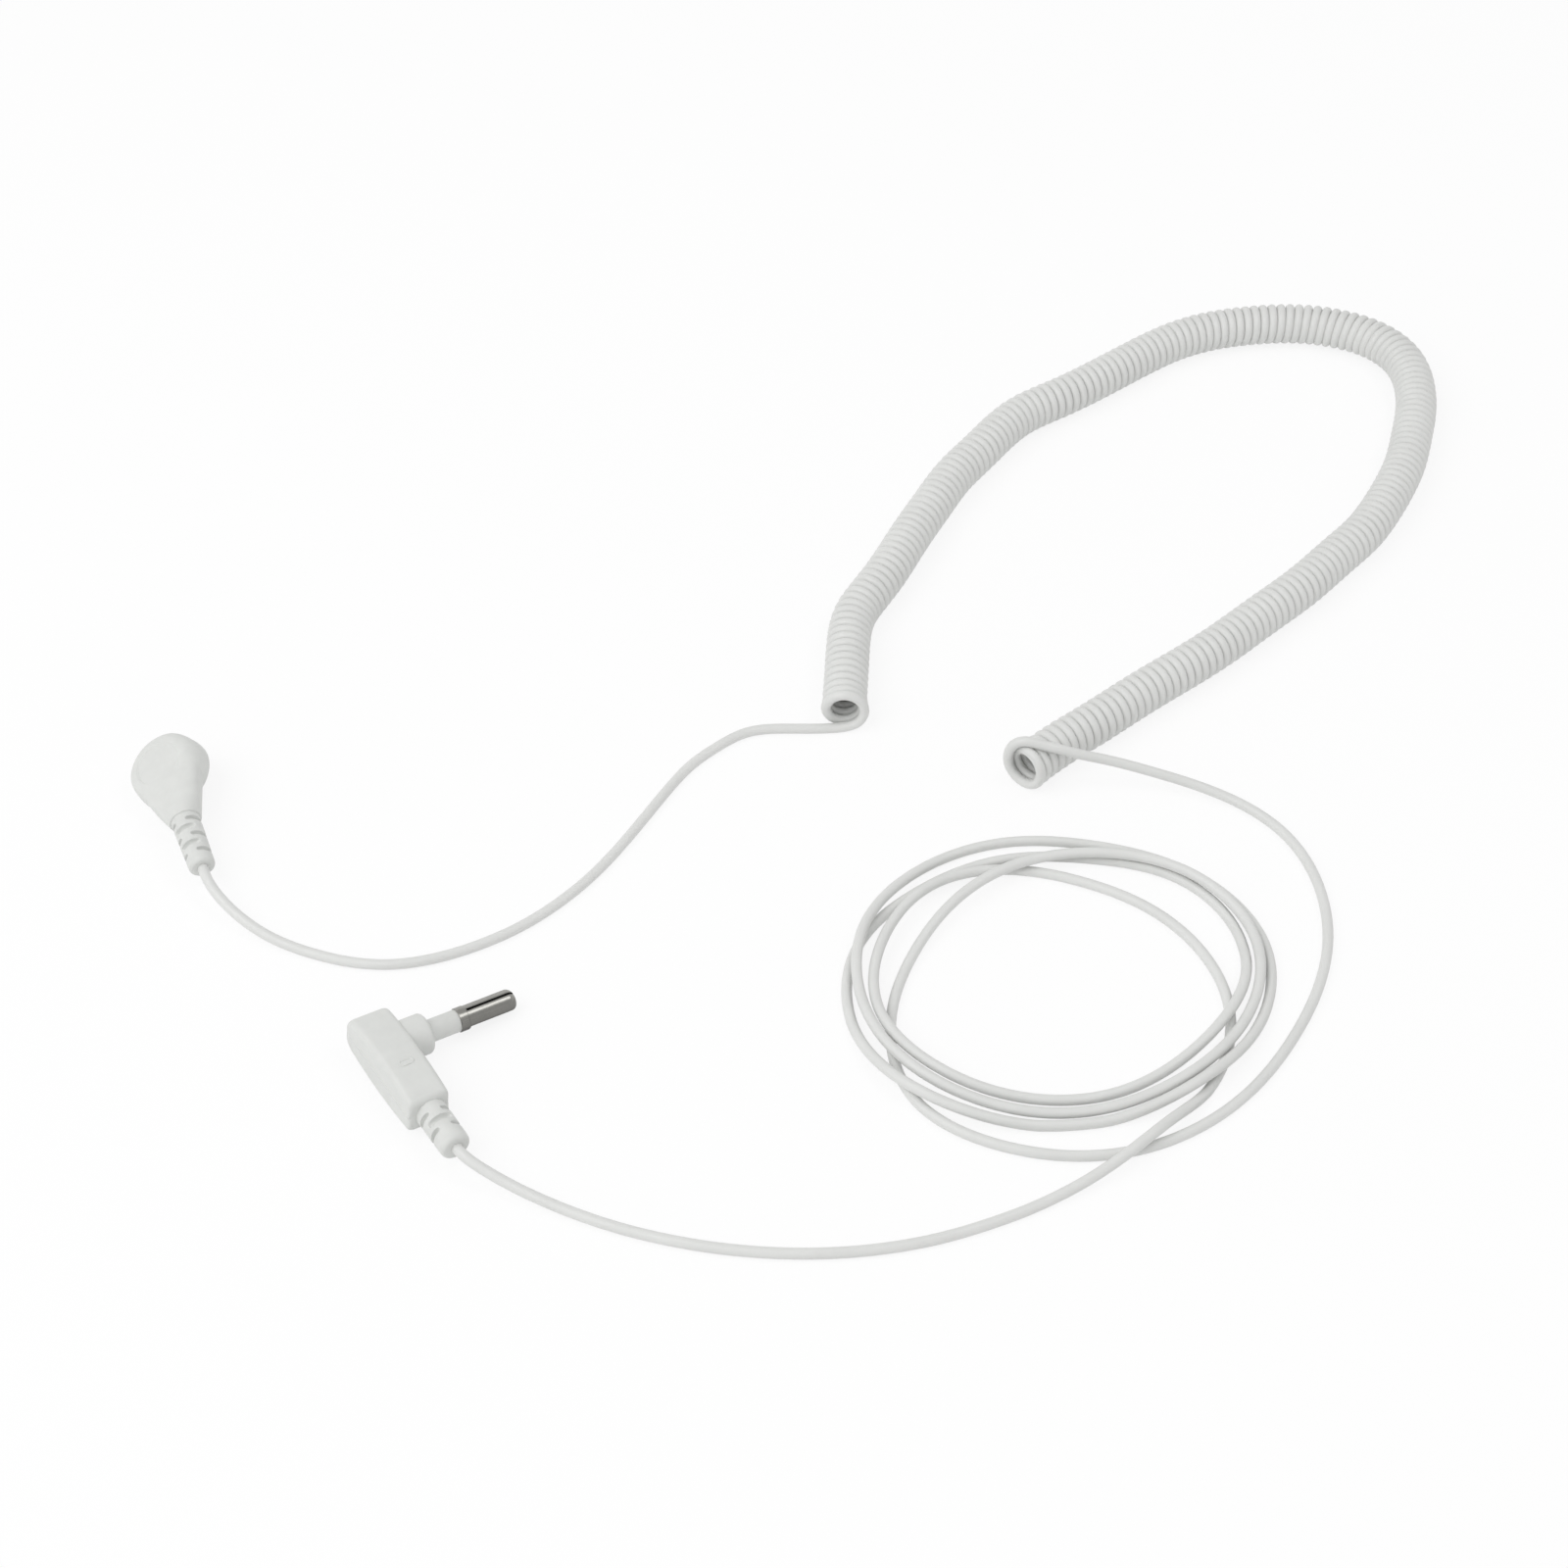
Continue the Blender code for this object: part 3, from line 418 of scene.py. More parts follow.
# ---- materials -------------------------------------------------------------------------------
class Shader:
    """A Principled material with the few nodes that the finishes below share."""

    def __init__(self, name, roughness, metallic=0.0):
        self.mat = bpy.data.materials.new(name)
        self.mat.use_nodes = True
        self.nodes = self.mat.node_tree.nodes
        self.links = self.mat.node_tree.links
        self.main = self.nodes["Principled BSDF"]
        self.main.inputs["Roughness"].default_value = roughness
        self.main.inputs["Metallic"].default_value = metallic
        self.coords = self.nodes.new("ShaderNodeTexCoord").outputs["Object"]

    def stretched(self, stretch, frame_matrix=None):
        """Coordinates of the piece's own frame, scaled by a factor for each axis."""
        source = self.coords
        if frame_matrix is not None:
            local = self.nodes.new("ShaderNodeMapping")
            local.vector_type = "TEXTURE"
            local.inputs["Location"].default_value = frame_matrix.to_translation()
            local.inputs["Rotation"].default_value = frame_matrix.to_euler()
            self.links.new(source, local.inputs["Vector"])
            source = local.outputs["Vector"]
        scaled = self.nodes.new("ShaderNodeMapping")
        scaled.inputs["Scale"].default_value = stretch
        self.links.new(source, scaled.inputs["Vector"])
        return scaled.outputs["Vector"]

    def noise(self, size_mm, detail=3.0, rough=0.55, vector=None):
        node = self.nodes.new("ShaderNodeTexNoise")
        node.inputs["Scale"].default_value = 1.0 / (size_mm * MM)
        node.inputs["Detail"].default_value = detail
        node.inputs["Roughness"].default_value = rough
        self.links.new(vector or self.coords, node.inputs["Vector"])
        return node.outputs["Fac"]

    def ramp(self, value, stops):
        node = self.nodes.new("ShaderNodeValToRGB")
        ramp = node.color_ramp
        while len(ramp.elements) < len(stops):
            ramp.elements.new(0.5)
        for element, (position, colour) in zip(ramp.elements, stops):
            element.position = position
            element.color = (*colour, 1.0)
        self.links.new(value, node.inputs["Fac"])
        return node.outputs["Color"]

    def spread(self, value, low, high, source_low=0.3, source_high=0.7):
        node = self.nodes.new("ShaderNodeMapRange")
        node.inputs["From Min"].default_value = source_low
        node.inputs["From Max"].default_value = source_high
        node.inputs["To Min"].default_value = low
        node.inputs["To Max"].default_value = high
        self.links.new(value, node.inputs["Value"])
        return node.outputs["Result"]

    def colour(self, output):
        self.links.new(output, self.main.inputs["Base Color"])

    def roughness(self, output):
        self.links.new(output, self.main.inputs["Roughness"])

    def bump(self, value, height_mm, strength=1.0, after=None):
        node = self.nodes.new("ShaderNodeBump")
        node.inputs["Strength"].default_value = strength
        node.inputs["Distance"].default_value = height_mm * MM
        self.links.new(value, node.inputs["Height"])
        if after is not None:
            self.links.new(after, node.inputs["Normal"])
        self.links.new(node.outputs["Normal"], self.main.inputs["Normal"])
        return node.outputs["Normal"]


def shaded(colour, factor):
    return tuple(min(1.0, c * factor) for c in colour)


def moulded_plastic(name, base, roughness, grain_mm, grain_height_mm):
    """Satin moulding: faint mottling, a fine even grain and slow waves in the gloss."""
    shader = Shader(name, roughness)
    mottle = shader.noise(2.6, 4.0, 0.6)
    shader.colour(shader.ramp(mottle, [
        (0.25, shaded(base, 0.965)), (0.5, base), (0.75, shaded(base, 1.03))]))
    gloss = shader.noise(1.1, 3.0, 0.5)
    shader.roughness(shader.spread(gloss, roughness - 0.05, roughness + 0.07))
    grain = shader.bump(shader.noise(grain_mm, 2.0, 0.5), grain_height_mm)
    shader.bump(shader.noise(1.6, 2.0, 0.5), 0.02, 1.0, grain)
    shader.main.inputs["Specular IOR Level"].default_value = 0.45
    return shader.mat


def cord_jacket(name, base, roughness):
    """Smooth satin jacket: soft cloudiness, a faint extrusion ripple and a few duller patches."""
    shader = Shader(name, roughness)
    cloud = shader.noise(9.0, 4.0, 0.6)
    shader.colour(shader.ramp(cloud, [(0.3, shaded(base, 0.975)), (0.5, base), (0.7, shaded(base, 1.02))]))
    patch = shader.noise(3.5, 3.0, 0.55)
    shader.roughness(shader.spread(patch, roughness - 0.06, roughness + 0.08))
    ripple = shader.bump(shader.noise(0.8, 2.0, 0.5), 0.012)
    shader.bump(shader.noise(0.16, 2.0, 0.5), 0.003, 1.0, ripple)
    shader.main.inputs["Specular IOR Level"].default_value = 0.5
    return shader.mat


def plated_metal(name, base, roughness, streak_axis=None, frame_matrix=None, streak_mm=0.12):
    """Bright or dull plating: drawing streaks along one axis and slight tarnish."""
    shader = Shader(name, roughness, 1.0)
    stretch = [1.0, 1.0, 1.0]
    if streak_axis is not None:
        stretch["XYZ".index(streak_axis)] = 0.04
    vector = shader.stretched(stretch, frame_matrix)
    streak = shader.noise(streak_mm, 3.0, 0.6, vector)
    tarnish = shader.noise(2.2, 4.0, 0.6)
    shader.colour(shader.ramp(tarnish, [(0.3, shaded(base, 0.9)), (0.55, base), (0.8, shaded(base, 1.06))]))
    shader.roughness(shader.spread(streak, roughness - 0.05, roughness + 0.09))
    shader.bump(streak, 0.0025)
    return shader.mat


def pin_metal(name, base, roughness):
    """Nickel plating with drawing streaks along the pin and random tarnish, with painted shade darkening
    its under side.
    """
    shader = Shader(name, roughness, 1.0)
    streak = shader.noise(0.12, 3.0, 0.6, shader.stretched((1.0, 0.04, 1.0)))
    split = shader.nodes.new("ShaderNodeSeparateXYZ")
    shader.links.new(shader.coords, split.inputs["Vector"])
    height = shader.spread(split.outputs["Z"], 0.0, 1.0, -TUBE_R * MM, TUBE_R * MM)
    # Painted shade: the colour runs from near black at the bottom of the pin up to the full base colour on
    # top.
    painted_shade_by_height = shader.ramp(height, [
        (0.38, shaded(base, 0.2)), (0.46, shaded(base, 0.42)), (0.58, shaded(base, 0.56)),
        (0.80, shaded(base, 0.64)), (0.88, shaded(base, 0.9)), (1.0, base)])
    tarnish = shader.ramp(shader.noise(1.8, 4.0, 0.6), [(0.3, (0.88, 0.88, 0.87)), (0.7, (1.0, 1.0, 1.0))])
    mix = shader.nodes.new("ShaderNodeMix")
    mix.data_type = "RGBA"
    mix.blend_type = "MULTIPLY"
    mix.inputs["Factor"].default_value = 1.0
    shader.links.new(painted_shade_by_height, mix.inputs[6])
    shader.links.new(tarnish, mix.inputs[7])
    shader.colour(mix.outputs[2])
    shader.roughness(shader.spread(streak, roughness - 0.05, roughness + 0.08))
    shader.bump(streak, 0.002)
    return shader.mat


def stranded_copper(name, base, frame_matrix):
    """Bare twisted strands: a slanted wave round the conductor, as a bump and as painted shade in the
    grooves between strands with a painted highlight on their crests.
    """
    shader = Shader(name, 0.35, 1.0)
    vector = shader.stretched((1.0, 0.55, 0.55), frame_matrix)
    wave = shader.nodes.new("ShaderNodeTexWave")
    wave.wave_type = "BANDS"
    wave.bands_direction = "DIAGONAL"
    wave.inputs["Scale"].default_value = 1.1 / MM
    wave.inputs["Distortion"].default_value = 0.4
    shader.links.new(vector, wave.inputs["Vector"])
    strand = wave.outputs["Fac"]
    # Painted shade in the grooves and painted highlight on the crests of the strands.
    shader.colour(shader.ramp(strand, [(0.0, shaded(base, 0.55)), (0.45, base), (1.0, shaded(base, 1.12))]))
    shader.bump(strand, 0.05)
    return shader.mat


def banded_enamel(name, base, frame_matrix, start, length):
    """Dipped resistor body with painted rings along its axis."""
    shader = Shader(name, 0.35)
    local = shader.stretched((1.0, 1.0, 1.0), frame_matrix)
    split = shader.nodes.new("ShaderNodeSeparateXYZ")
    shader.links.new(local, split.inputs["Vector"])
    along = shader.spread(split.outputs["X"], 0.0, 1.0, start * MM, (start + length) * MM)
    rings = shader.ramp(along, [
        (0.0, base), (0.16, (0.16, 0.08, 0.05)), (0.24, base), (0.36, (0.02, 0.02, 0.02)), (0.44, base),
        (0.52, (0.05, 0.22, 0.10)), (0.60, base), (0.80, (0.55, 0.38, 0.10)), (0.88, base)])
    rings.node.color_ramp.interpolation = "CONSTANT"
    shader.colour(rings)
    shader.bump(shader.noise(0.5, 3.0, 0.5), 0.015)
    shader.main.inputs["Coat Weight"].default_value = 0.3
    return shader.mat


# ---- camera, floor and light -----------------------------------------------------------------
def add_camera():
    data = bpy.data.cameras.new("camera")
    data.lens = CAMERA_LENS
    data.sensor_width = CAMERA_SENSOR
    camera = link(bpy.data.objects.new("camera", data))
    camera.location = CAMERA_PLACE
    camera.rotation_euler = (math.radians(CAMERA_TILT), 0.0, 0.0)
    bpy.context.scene.camera = camera


# ---- the cord --------------------------------------------------------------------------------
def natural_spline(points, samples):
    """Smooth curve through the points: a natural cubic spline over chord length."""
    knots = np.array(points, dtype=float)
    count = len(knots)
    step = np.linalg.norm(np.diff(knots, axis=0), axis=1)
    system = np.eye(count)
    right = np.zeros_like(knots)
    for i in range(1, count - 1):
        system[i, i - 1] = step[i - 1]
        system[i, i] = 2.0 * (step[i - 1] + step[i])
        system[i, i + 1] = step[i]
        after = (knots[i + 1] - knots[i]) / step[i]
        before = (knots[i] - knots[i - 1]) / step[i - 1]
        right[i] = 6.0 * (after - before)
    bend = np.linalg.solve(system, right)
    curve = []
    for i in range(count - 1):
        for k in range(samples):
            b = step[i] * k / samples
            a = step[i] - b
            cubic = (bend[i] * a ** 3 + bend[i + 1] * b ** 3) / (6.0 * step[i])
            start = (knots[i] / step[i] - bend[i] * step[i] / 6.0) * a
            end = (knots[i + 1] / step[i] - bend[i + 1] * step[i] / 6.0) * b
            curve.append(cubic + start + end)
    curve.append(knots[-1])
    return np.array(curve)


def coil_helix():
    """Left-handed close helix round the coil's axis, from its far end to its near end."""
    axis = natural_spline([(x, y, 0.0) for x, y in reversed(COIL_AXIS)], 24)
    along = np.concatenate([[0.0], np.cumsum(np.linalg.norm(np.diff(axis, axis=0), axis=1))])

    def at(distance):
        return np.array([np.interp(distance, along, axis[:, k]) for k in range(3)])

    first = CORD_R
    last = along[-1] - CORD_R
    turns = round((last - first) / COIL_PITCH) + 0.5
    count = int(turns * COIL_STEPS)
    up = np.array([0.0, 0.0, 1.0])
    points = []
    for i in range(count + 1):
        distance = first + (last - first) * i / count
        radius = COIL_R
        radius += FLARE_FAR * smooth_step(1.0 - (distance - first) / FLARE_LENGTH)
        radius += FLARE_NEAR * smooth_step(1.0 - (last - distance) / FLARE_LENGTH)
        centre = at(distance)
        centre[2] = radius + CORD_R + COIL_LIFT
        forward = at(distance + 0.3) - at(distance - 0.3)
        forward /= np.linalg.norm(forward)
        side = np.cross(forward, up)
        phase = math.radians(-90.0 + 360.0 * i / COIL_STEPS)
        points.append(centre + radius * (side * math.cos(phase) + up * math.sin(phase)))
    return np.array(points)


def plug_lead_route():
    route = list(PLUG_LEAD_IN)
    bearing = LOOP_FIRST_BEARING
    for turn in LOOP_TURNS:
        for radius, height in turn:
            a = math.radians(bearing)
            route.append((LOOP_CENTRE[0] + radius * math.cos(a),
                          LOOP_CENTRE[1] + radius * math.sin(a), height))
            bearing += LOOP_STEP
    return route + PLUG_LEAD_OUT


def cord_route():
    """The whole centreline, from inside the snap end's relief to inside the plug's."""
    helix = coil_helix()[COIL_CUT[0]:-COIL_CUT[1]]
    start = np.array(SNAP_LEAD[0]) - TAIL_OVERLAP * exit_direction(HEAD_FRAME)
    finish = np.array(PLUG_LEAD_OUT[-1]) - TAIL_OVERLAP * exit_direction(PLUG_FRAME)
    far_join = [tuple(helix[k]) for k in COIL_JOIN]
    near_join = [tuple(helix[-1 - k]) for k in reversed(COIL_JOIN)]
    snap = natural_spline([tuple(start)] + SNAP_LEAD + far_join, SNAP_SAMPLES)
    snap = snap[:int(np.argmin(np.linalg.norm(snap - helix[0], axis=1)))]
    plug = natural_spline(near_join + plug_lead_route() + [tuple(finish)], PLUG_SAMPLES)
    plug = plug[int(np.argmin(np.linalg.norm(plug - helix[-1], axis=1))) + 1:]
    route = np.vstack([snap, helix, plug])
    route[:, 2] = np.maximum(route[:, 2], CORD_R)
    return route


def build_cord(mat):
    route = to_row(cord_route())
    data = bpy.data.curves.new("ground_cord_line", "CURVE")
    data.dimensions = "3D"
    data.bevel_depth = CORD_R * MM
    data.bevel_resolution = CORD_SIDES
    data.use_fill_caps = True
    spline = data.splines.new("POLY")
    spline.points.add(len(route) - 1)
    for point, place in zip(spline.points, route):
        point.co = (*place, 1.0)
    spline.use_smooth = True
    data.materials.append(mat)
    obj = link(bpy.data.objects.new("ground_cord_line", data))
    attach(obj, "ground_cord")
    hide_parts("snap_lead", "coiled_section", "plug_lead")


# ---- snap end --------------------------------------------------------------------------------
def neck_sections():
    """Rings from the squarish root of the neck, inside the disc, to its round end."""
    sections = []
    for s in range(NECK_STATIONS):
        t = s / (NECK_STATIONS - 1)
        x = NECK_START_X + (NECK_END_X - NECK_START_X) * t
        ring = []
        for k in range(NECK_SIDES):
            a = 2.0 * math.pi * k / NECK_SIDES
            c = math.cos(a)
            d = math.sin(a)
            power = NECK_SOFT_POWER if c > 0 and d > 0 else NECK_POWER
            wide_y = NECK_START_HALF_WIDTH * math.copysign(abs(c) ** power, c)
            half = DISC_TOP_Z if d > 0 else -DISC_BOTTOM_Z
            wide_z = (half - NECK_SINK) * math.copysign(abs(d) ** power, d)
            mix = t ** NECK_TOP_TAPER if d > 0 else t
            ring.append((x, wide_y * (1.0 - mix) + NECK_END_R * c * mix,
                         wide_z * (1.0 - mix) + NECK_END_R * d * mix))
        sections.append(ring)
    return sections


def head_disc():
    """Round moulding with a chamfered foot; its upper edge is rounder on the +Y side."""
    count = DISC_STEPS
    side_r = DISC_R - DISC_SIDE_TAPER
    chamfer = DISC_BOTTOM_CHAMFER
    verts = []
    for k in range(count):
        a = 2.0 * math.pi * k / count
        soft = smooth_step(1.3 * math.sin(a + SOFT_SIDE_TURN) - 0.15)
        width = DISC_TOP_FILLET + SOFT_SIDE_WIDTH * soft
        drop = DISC_TOP_FILLET + SOFT_SIDE_DROP * soft
        outline = [(DISC_R - chamfer, DISC_BOTTOM_Z), (DISC_R, DISC_BOTTOM_Z + chamfer),
                   (DISC_R, DISC_BOTTOM_Z + DISC_FOOT_HEIGHT)]
        outline += [(side_r - width + width * math.cos(b), DISC_TOP_Z - drop + drop * math.sin(b))
                    for b in (math.radians(90.0 * i / DISC_FILLET_STEPS)
                              for i in range(DISC_FILLET_STEPS + 1))]
        verts += [(r * math.cos(a), r * math.sin(a), z) for r, z in outline]
    rows = len(outline)
    faces = []
    for k in range(count):
        m = (k + 1) % count
        faces += [(k * rows + i, m * rows + i, m * rows + i + 1, k * rows + i + 1) for i in range(rows - 1)]
    faces.append([k * rows for k in range(count)])
    faces.append([k * rows + rows - 1 for k in range(count)])
    return verts, faces


def relax(obj, weight_at, passes):
    """Even out the surface where weight_at(x, y, z) is above zero, which blends forms into each other."""
    mesh = obj.data
    count = len(mesh.vertices)
    place = np.empty(3 * count)
    mesh.vertices.foreach_get("co", place)
    place = place.reshape(-1, 3)
    ends = np.empty(2 * len(mesh.edges), dtype=int)
    mesh.edges.foreach_get("vertices", ends)
    first, second = ends[0::2], ends[1::2]
    degree = np.bincount(ends, minlength=count)[:, None]
    weight = 0.5 * np.array([weight_at(*p) for p in place])[:, None]
    for _ in range(passes):
        total = np.column_stack([np.bincount(first, place[second, i], count)
                                 + np.bincount(second, place[first, i], count) for i in range(3)])
        place += weight * (total / degree - place)
    mesh.vertices.foreach_set("co", place.ravel())
    mesh.update()


def neck_blend(x, _, z):
    """Where the disc runs into the neck: on top, from the disc's middle to the middle of the neck."""
    return smooth_step((z + 0.6) / 1.2) * smooth_step((x + 1.0) / 2.0) * smooth_step((9.5 - x) / 4.0)


def build_snap_head(mat):
    head = solid("snap_head_moulding", *head_disc())
    combine(head, "UNION", solid("tool", *loft(neck_sections())))
    soften(head, HEAD_VOXEL, HEAD_SMOOTHING)
    relax(head, neck_blend, HEAD_BLENDING)
    cavity = revolve([(0, DISC_BOTTOM_Z - 1.0), (HEAD_CAVITY_R, DISC_BOTTOM_Z - 1.0),
                      (HEAD_CAVITY_R, HEAD_CAVITY_TOP_Z), (0, HEAD_CAVITY_TOP_Z)], "Z", 96)
    combine(head, "DIFFERENCE", solid("tool", *cavity))
    bore = revolve([(0, NECK_BORE_START_X), (NECK_BORE_R, NECK_BORE_START_X),
                    (NECK_BORE_R, NECK_END_X + 1.0), (0, NECK_END_X + 1.0)], "X", 48)
    combine(head, "DIFFERENCE", solid("tool", *bore))
    for v in head.data.vertices:
        if v.co.z > HEAD_CAVITY_TOP_Z + TOP_SKIN_Z:
            r = math.hypot(v.co.x - PANEL_CENTRE[0], v.co.y - PANEL_CENTRE[1])
            fade = smooth_step((PANEL_FADE_X - v.co.x) / PANEL_FADE_LENGTH)
            v.co.z -= PANEL_DEPTH * fade * smooth_step((PANEL_R + PANEL_EDGE - r) / (2.0 * PANEL_EDGE))
            v.co.z -= PANEL_GROOVE * fade * math.exp(-((r - PANEL_R) / PANEL_GROOVE_WIDTH) ** 2)
    return finish_piece(head, HEAD_FRAME, "ground_cord", mat,
                        ("snap_head_overmould",), 50.0)


# ---- strain reliefs --------------------------------------------------------------------------
def groove(middle, radius, centre_angle, half_span, half_width, depth):
    """Cutter that follows the relief's surface: a bent bar of oval section with rounded ends."""
    sections = []
    count = 28
    for i in range(count + 1):
        t = -1.0 + 2.0 * i / count
        swell = max(0.06, (1.0 - abs(t) ** 5) ** 0.5)
        a = math.radians(centre_angle + half_span * t)
        ring = []
        for k in range(16):
            b = 2.0 * math.pi * k / 16
            reach = radius + SLOT_CLEARANCE + depth * swell * math.sin(b)
            ring.append((middle + half_width * (0.35 + 0.65 * swell) * math.cos(b),
                         reach * math.sin(a), reach * math.cos(a)))
        sections.append(ring)
    return loft(sections)


def build_relief(name, node, sizes, place, mat):
    """Tapered sleeve with a rounded collar at its free end and soft-edged slots round its sides."""
    start, end, radius_start, radius_end, side_slots, top_slots, turn = sizes
    collar = end - RELIEF_COLLAR
    rim = RELIEF_RIM_R
    profile = [(0, start), (radius_start - 0.1, start), (radius_start, start + 0.12),
               (radius_end + 0.02, collar)]
    profile += [(radius_end - rim + rim * math.cos(a), end - rim + rim * math.sin(a))
                for a in (math.radians(15 * i) for i in range(0, 7))]
    profile += [(RELIEF_MOUTH_R, end - 0.05), (RELIEF_MOUTH_R, end - RELIEF_MOUTH_DEPTH),
                (0, end - RELIEF_MOUTH_DEPTH)]
    relief = solid(name, *revolve(profile, "X", 96))
    for slots, size, first in ((side_slots, SIDE_SLOT, 90.0), (top_slots, TOP_SLOT, 0.0)):
        for middle in slots:
            radius = radius_start + (radius_end - radius_start) * (middle - start) / (collar - start)
            for angle in (first, first + 180.0):
                cut = groove(middle, radius, angle + turn, *size)
                combine(relief, "DIFFERENCE", solid("tool", *cut))
    soften(relief, RELIEF_VOXEL, RELIEF_SMOOTHING)
    return finish_piece(relief, place, "ground_cord", mat, (node,))


# ---- plug ------------------------------------------------------------------------------------
def body_half_thickness(x):
    middle = 0.5 * (BODY_START_X + BODY_END_X)
    reach = 0.5 * (BODY_END_X - BODY_START_X)
    drop = BODY_MID_HALF_THICKNESS - BODY_END_HALF_THICKNESS
    return BODY_MID_HALF_THICKNESS - drop * ((x - middle) / reach) ** 2


def half_section(x, inset, top, edge, low, side):
    """Outline of half the plug body at one station: rounded outer edges, softened parting edge."""
    soft = PARTING_SOFT
    left = BODY_LEFT_Y + inset
    right = BODY_RIGHT_Y - inset
    ring = [(x, left + soft, side * low), (x, left, side * (low + soft))]
    ring += [(x, y, side * z) for y, z in arc((left + edge, top - edge), edge, 180, 90, 8)]
    ring += [(x, y, side * z) for y, z in arc((right - edge, top - edge), edge, 90, 0, 8)]
    ring += [(x, right, side * (low + soft)), (x, right - soft, side * low)]
    return ring


def rounding(distance, radius):
    """How far a corner of that radius falls back at a distance from the end face."""
    if distance >= radius:
        return 0.0
    return radius - math.sqrt(radius ** 2 - (radius - distance) ** 2)


def end_stations(radii):
    """Distances from an end face that follow each of its corner radii."""
    return sorted(r * (1.0 - math.cos(math.radians(a))) for r in radii for a in STATION_ANGLES)


def build_plug_half(name, node, side, mat):
    """Upper half of the body for side 1, lower half for side -1."""
    back = [BODY_START_X + e for e in end_stations((BODY_CORNER_R, BODY_BACK_R))]
    front = [BODY_END_X - e for e in reversed(end_stations((BODY_CORNER_R, BODY_FRONT_R)))]
    middle = [back[-1] + (front[0] - back[-1]) * i / BODY_STATIONS for i in range(1, BODY_STATIONS)]
    sections = []
    for x in back + middle + front:
        from_back = x - BODY_START_X
        from_front = BODY_END_X - x
        fall = rounding(from_back, BODY_BACK_R) + rounding(from_front, BODY_FRONT_R)
        inset = rounding(min(from_back, from_front), BODY_CORNER_R)
        top = body_half_thickness(x) - fall
        if side < 0:
            inset -= PARTING_STEP
        sections.append(half_section(x, inset, top, min(BODY_EDGE_R, 0.85 * top), PARTING_HALF_GAP, side))
    half = solid(name, *loft(sections))
    low, high = STEM_HOLE
    radius = SLEEVE_R + STEM_PLAY
    stem = revolve([(0, low), (radius, low), (radius, high), (0, high)], "Y", 48)
    combine(half, "DIFFERENCE", solid("tool", *stem))
    return finish_piece(half, PLUG_FRAME, "ground_cord", mat, (node,), 40.0)


def build_pin_moulding(mat):
    """Round collar at the root of the pin and the plain sleeve in front of it."""
    start = BODY_RIGHT_Y - COLLAR_SINK
    rim = COLLAR_RIM_R
    bore = SHANK_R + SHANK_PLAY
    profile = [(bore, SLEEVE_START_Y), (SLEEVE_R - 0.1, SLEEVE_START_Y), (SLEEVE_R - 0.1, start),
               (COLLAR_R, start)]
    profile += arc((COLLAR_R - rim, COLLAR_END_Y - rim), rim, 0, 90, 9)
    profile += [(SLEEVE_R + 0.25, COLLAR_END_Y), (SLEEVE_R + 0.07, COLLAR_END_Y + 0.07),
                (SLEEVE_R, COLLAR_END_Y + 0.25), (SLEEVE_R, SLEEVE_END_Y - 0.12),
                (SLEEVE_R - 0.05, SLEEVE_END_Y - 0.03), (SLEEVE_R - 0.14, SLEEVE_END_Y),
                (bore, SLEEVE_END_Y)]
    sleeve = solid("plug_pin_moulding", *revolve(profile, "Y", 96))
    return finish_piece(sleeve, PLUG_FRAME, "ground_cord", mat, ("pin_insulator",), 40.0)


def build_pin(mat, painted_shade_mat):
    """Springy slotted sleeve of the 4 mm pin: a base ring and three leaves with a round nose."""
    nose = TUBE_NOSE
    bore = SHANK_R + SHANK_PLAY
    inner = LEAF_R - TUBE_WALL
    profile = [(bore, TUBE_START_Y), (TUBE_R - 0.08, TUBE_START_Y), (TUBE_R, TUBE_START_Y + 0.08),
               (TUBE_R, LEAF_START_Y - 0.1), (LEAF_R, LEAF_START_Y), (LEAF_R, TUBE_END_Y - nose)]
    profile += [(LEAF_R - nose + nose * math.cos(a), TUBE_END_Y - nose + nose * math.sin(a))
                for a in (math.radians(9 * i) for i in range(1, 11))]
    mouth = LEAF_R - nose - 0.06
    profile += [(mouth, TUBE_END_Y - 0.02), (mouth, TUBE_END_Y - 0.4), (inner, TUBE_END_Y - 1.1),
                (inner, TUBE_START_Y + 1.2), (bore, TUBE_START_Y + 1.0)]
    pin = solid("pin_sleeve", *revolve(profile, "Y", 120))
    for angle, width in LEAF_SLOTS:
        slot = solid("tool", *box((-0.5 * width, LEAF_START_Y + 0.1, 0.2),
                                  (0.5 * width, TUBE_END_Y + 1.0, 3.0)))
        slot.data.transform(Matrix.Rotation(math.radians(angle), 4, "Y"))
        combine(pin, "DIFFERENCE", slot)
    finish_piece(pin, PLUG_FRAME, "ground_cord", mat, ("contact_tube",), 35.0)
    # The faces inside the slots and the bore take a near-black copy of the nickel: painted shade inside the
    # pin.
    pin.data.materials.append(painted_shade_mat)
    for face in pin.data.polygons:
        outward = Vector((face.center.x, 0.0, face.center.z)).normalized()
        if abs(face.normal.y) < 0.7 and face.normal.dot(outward) < 0.2:
            face.material_index = 1
    return pin


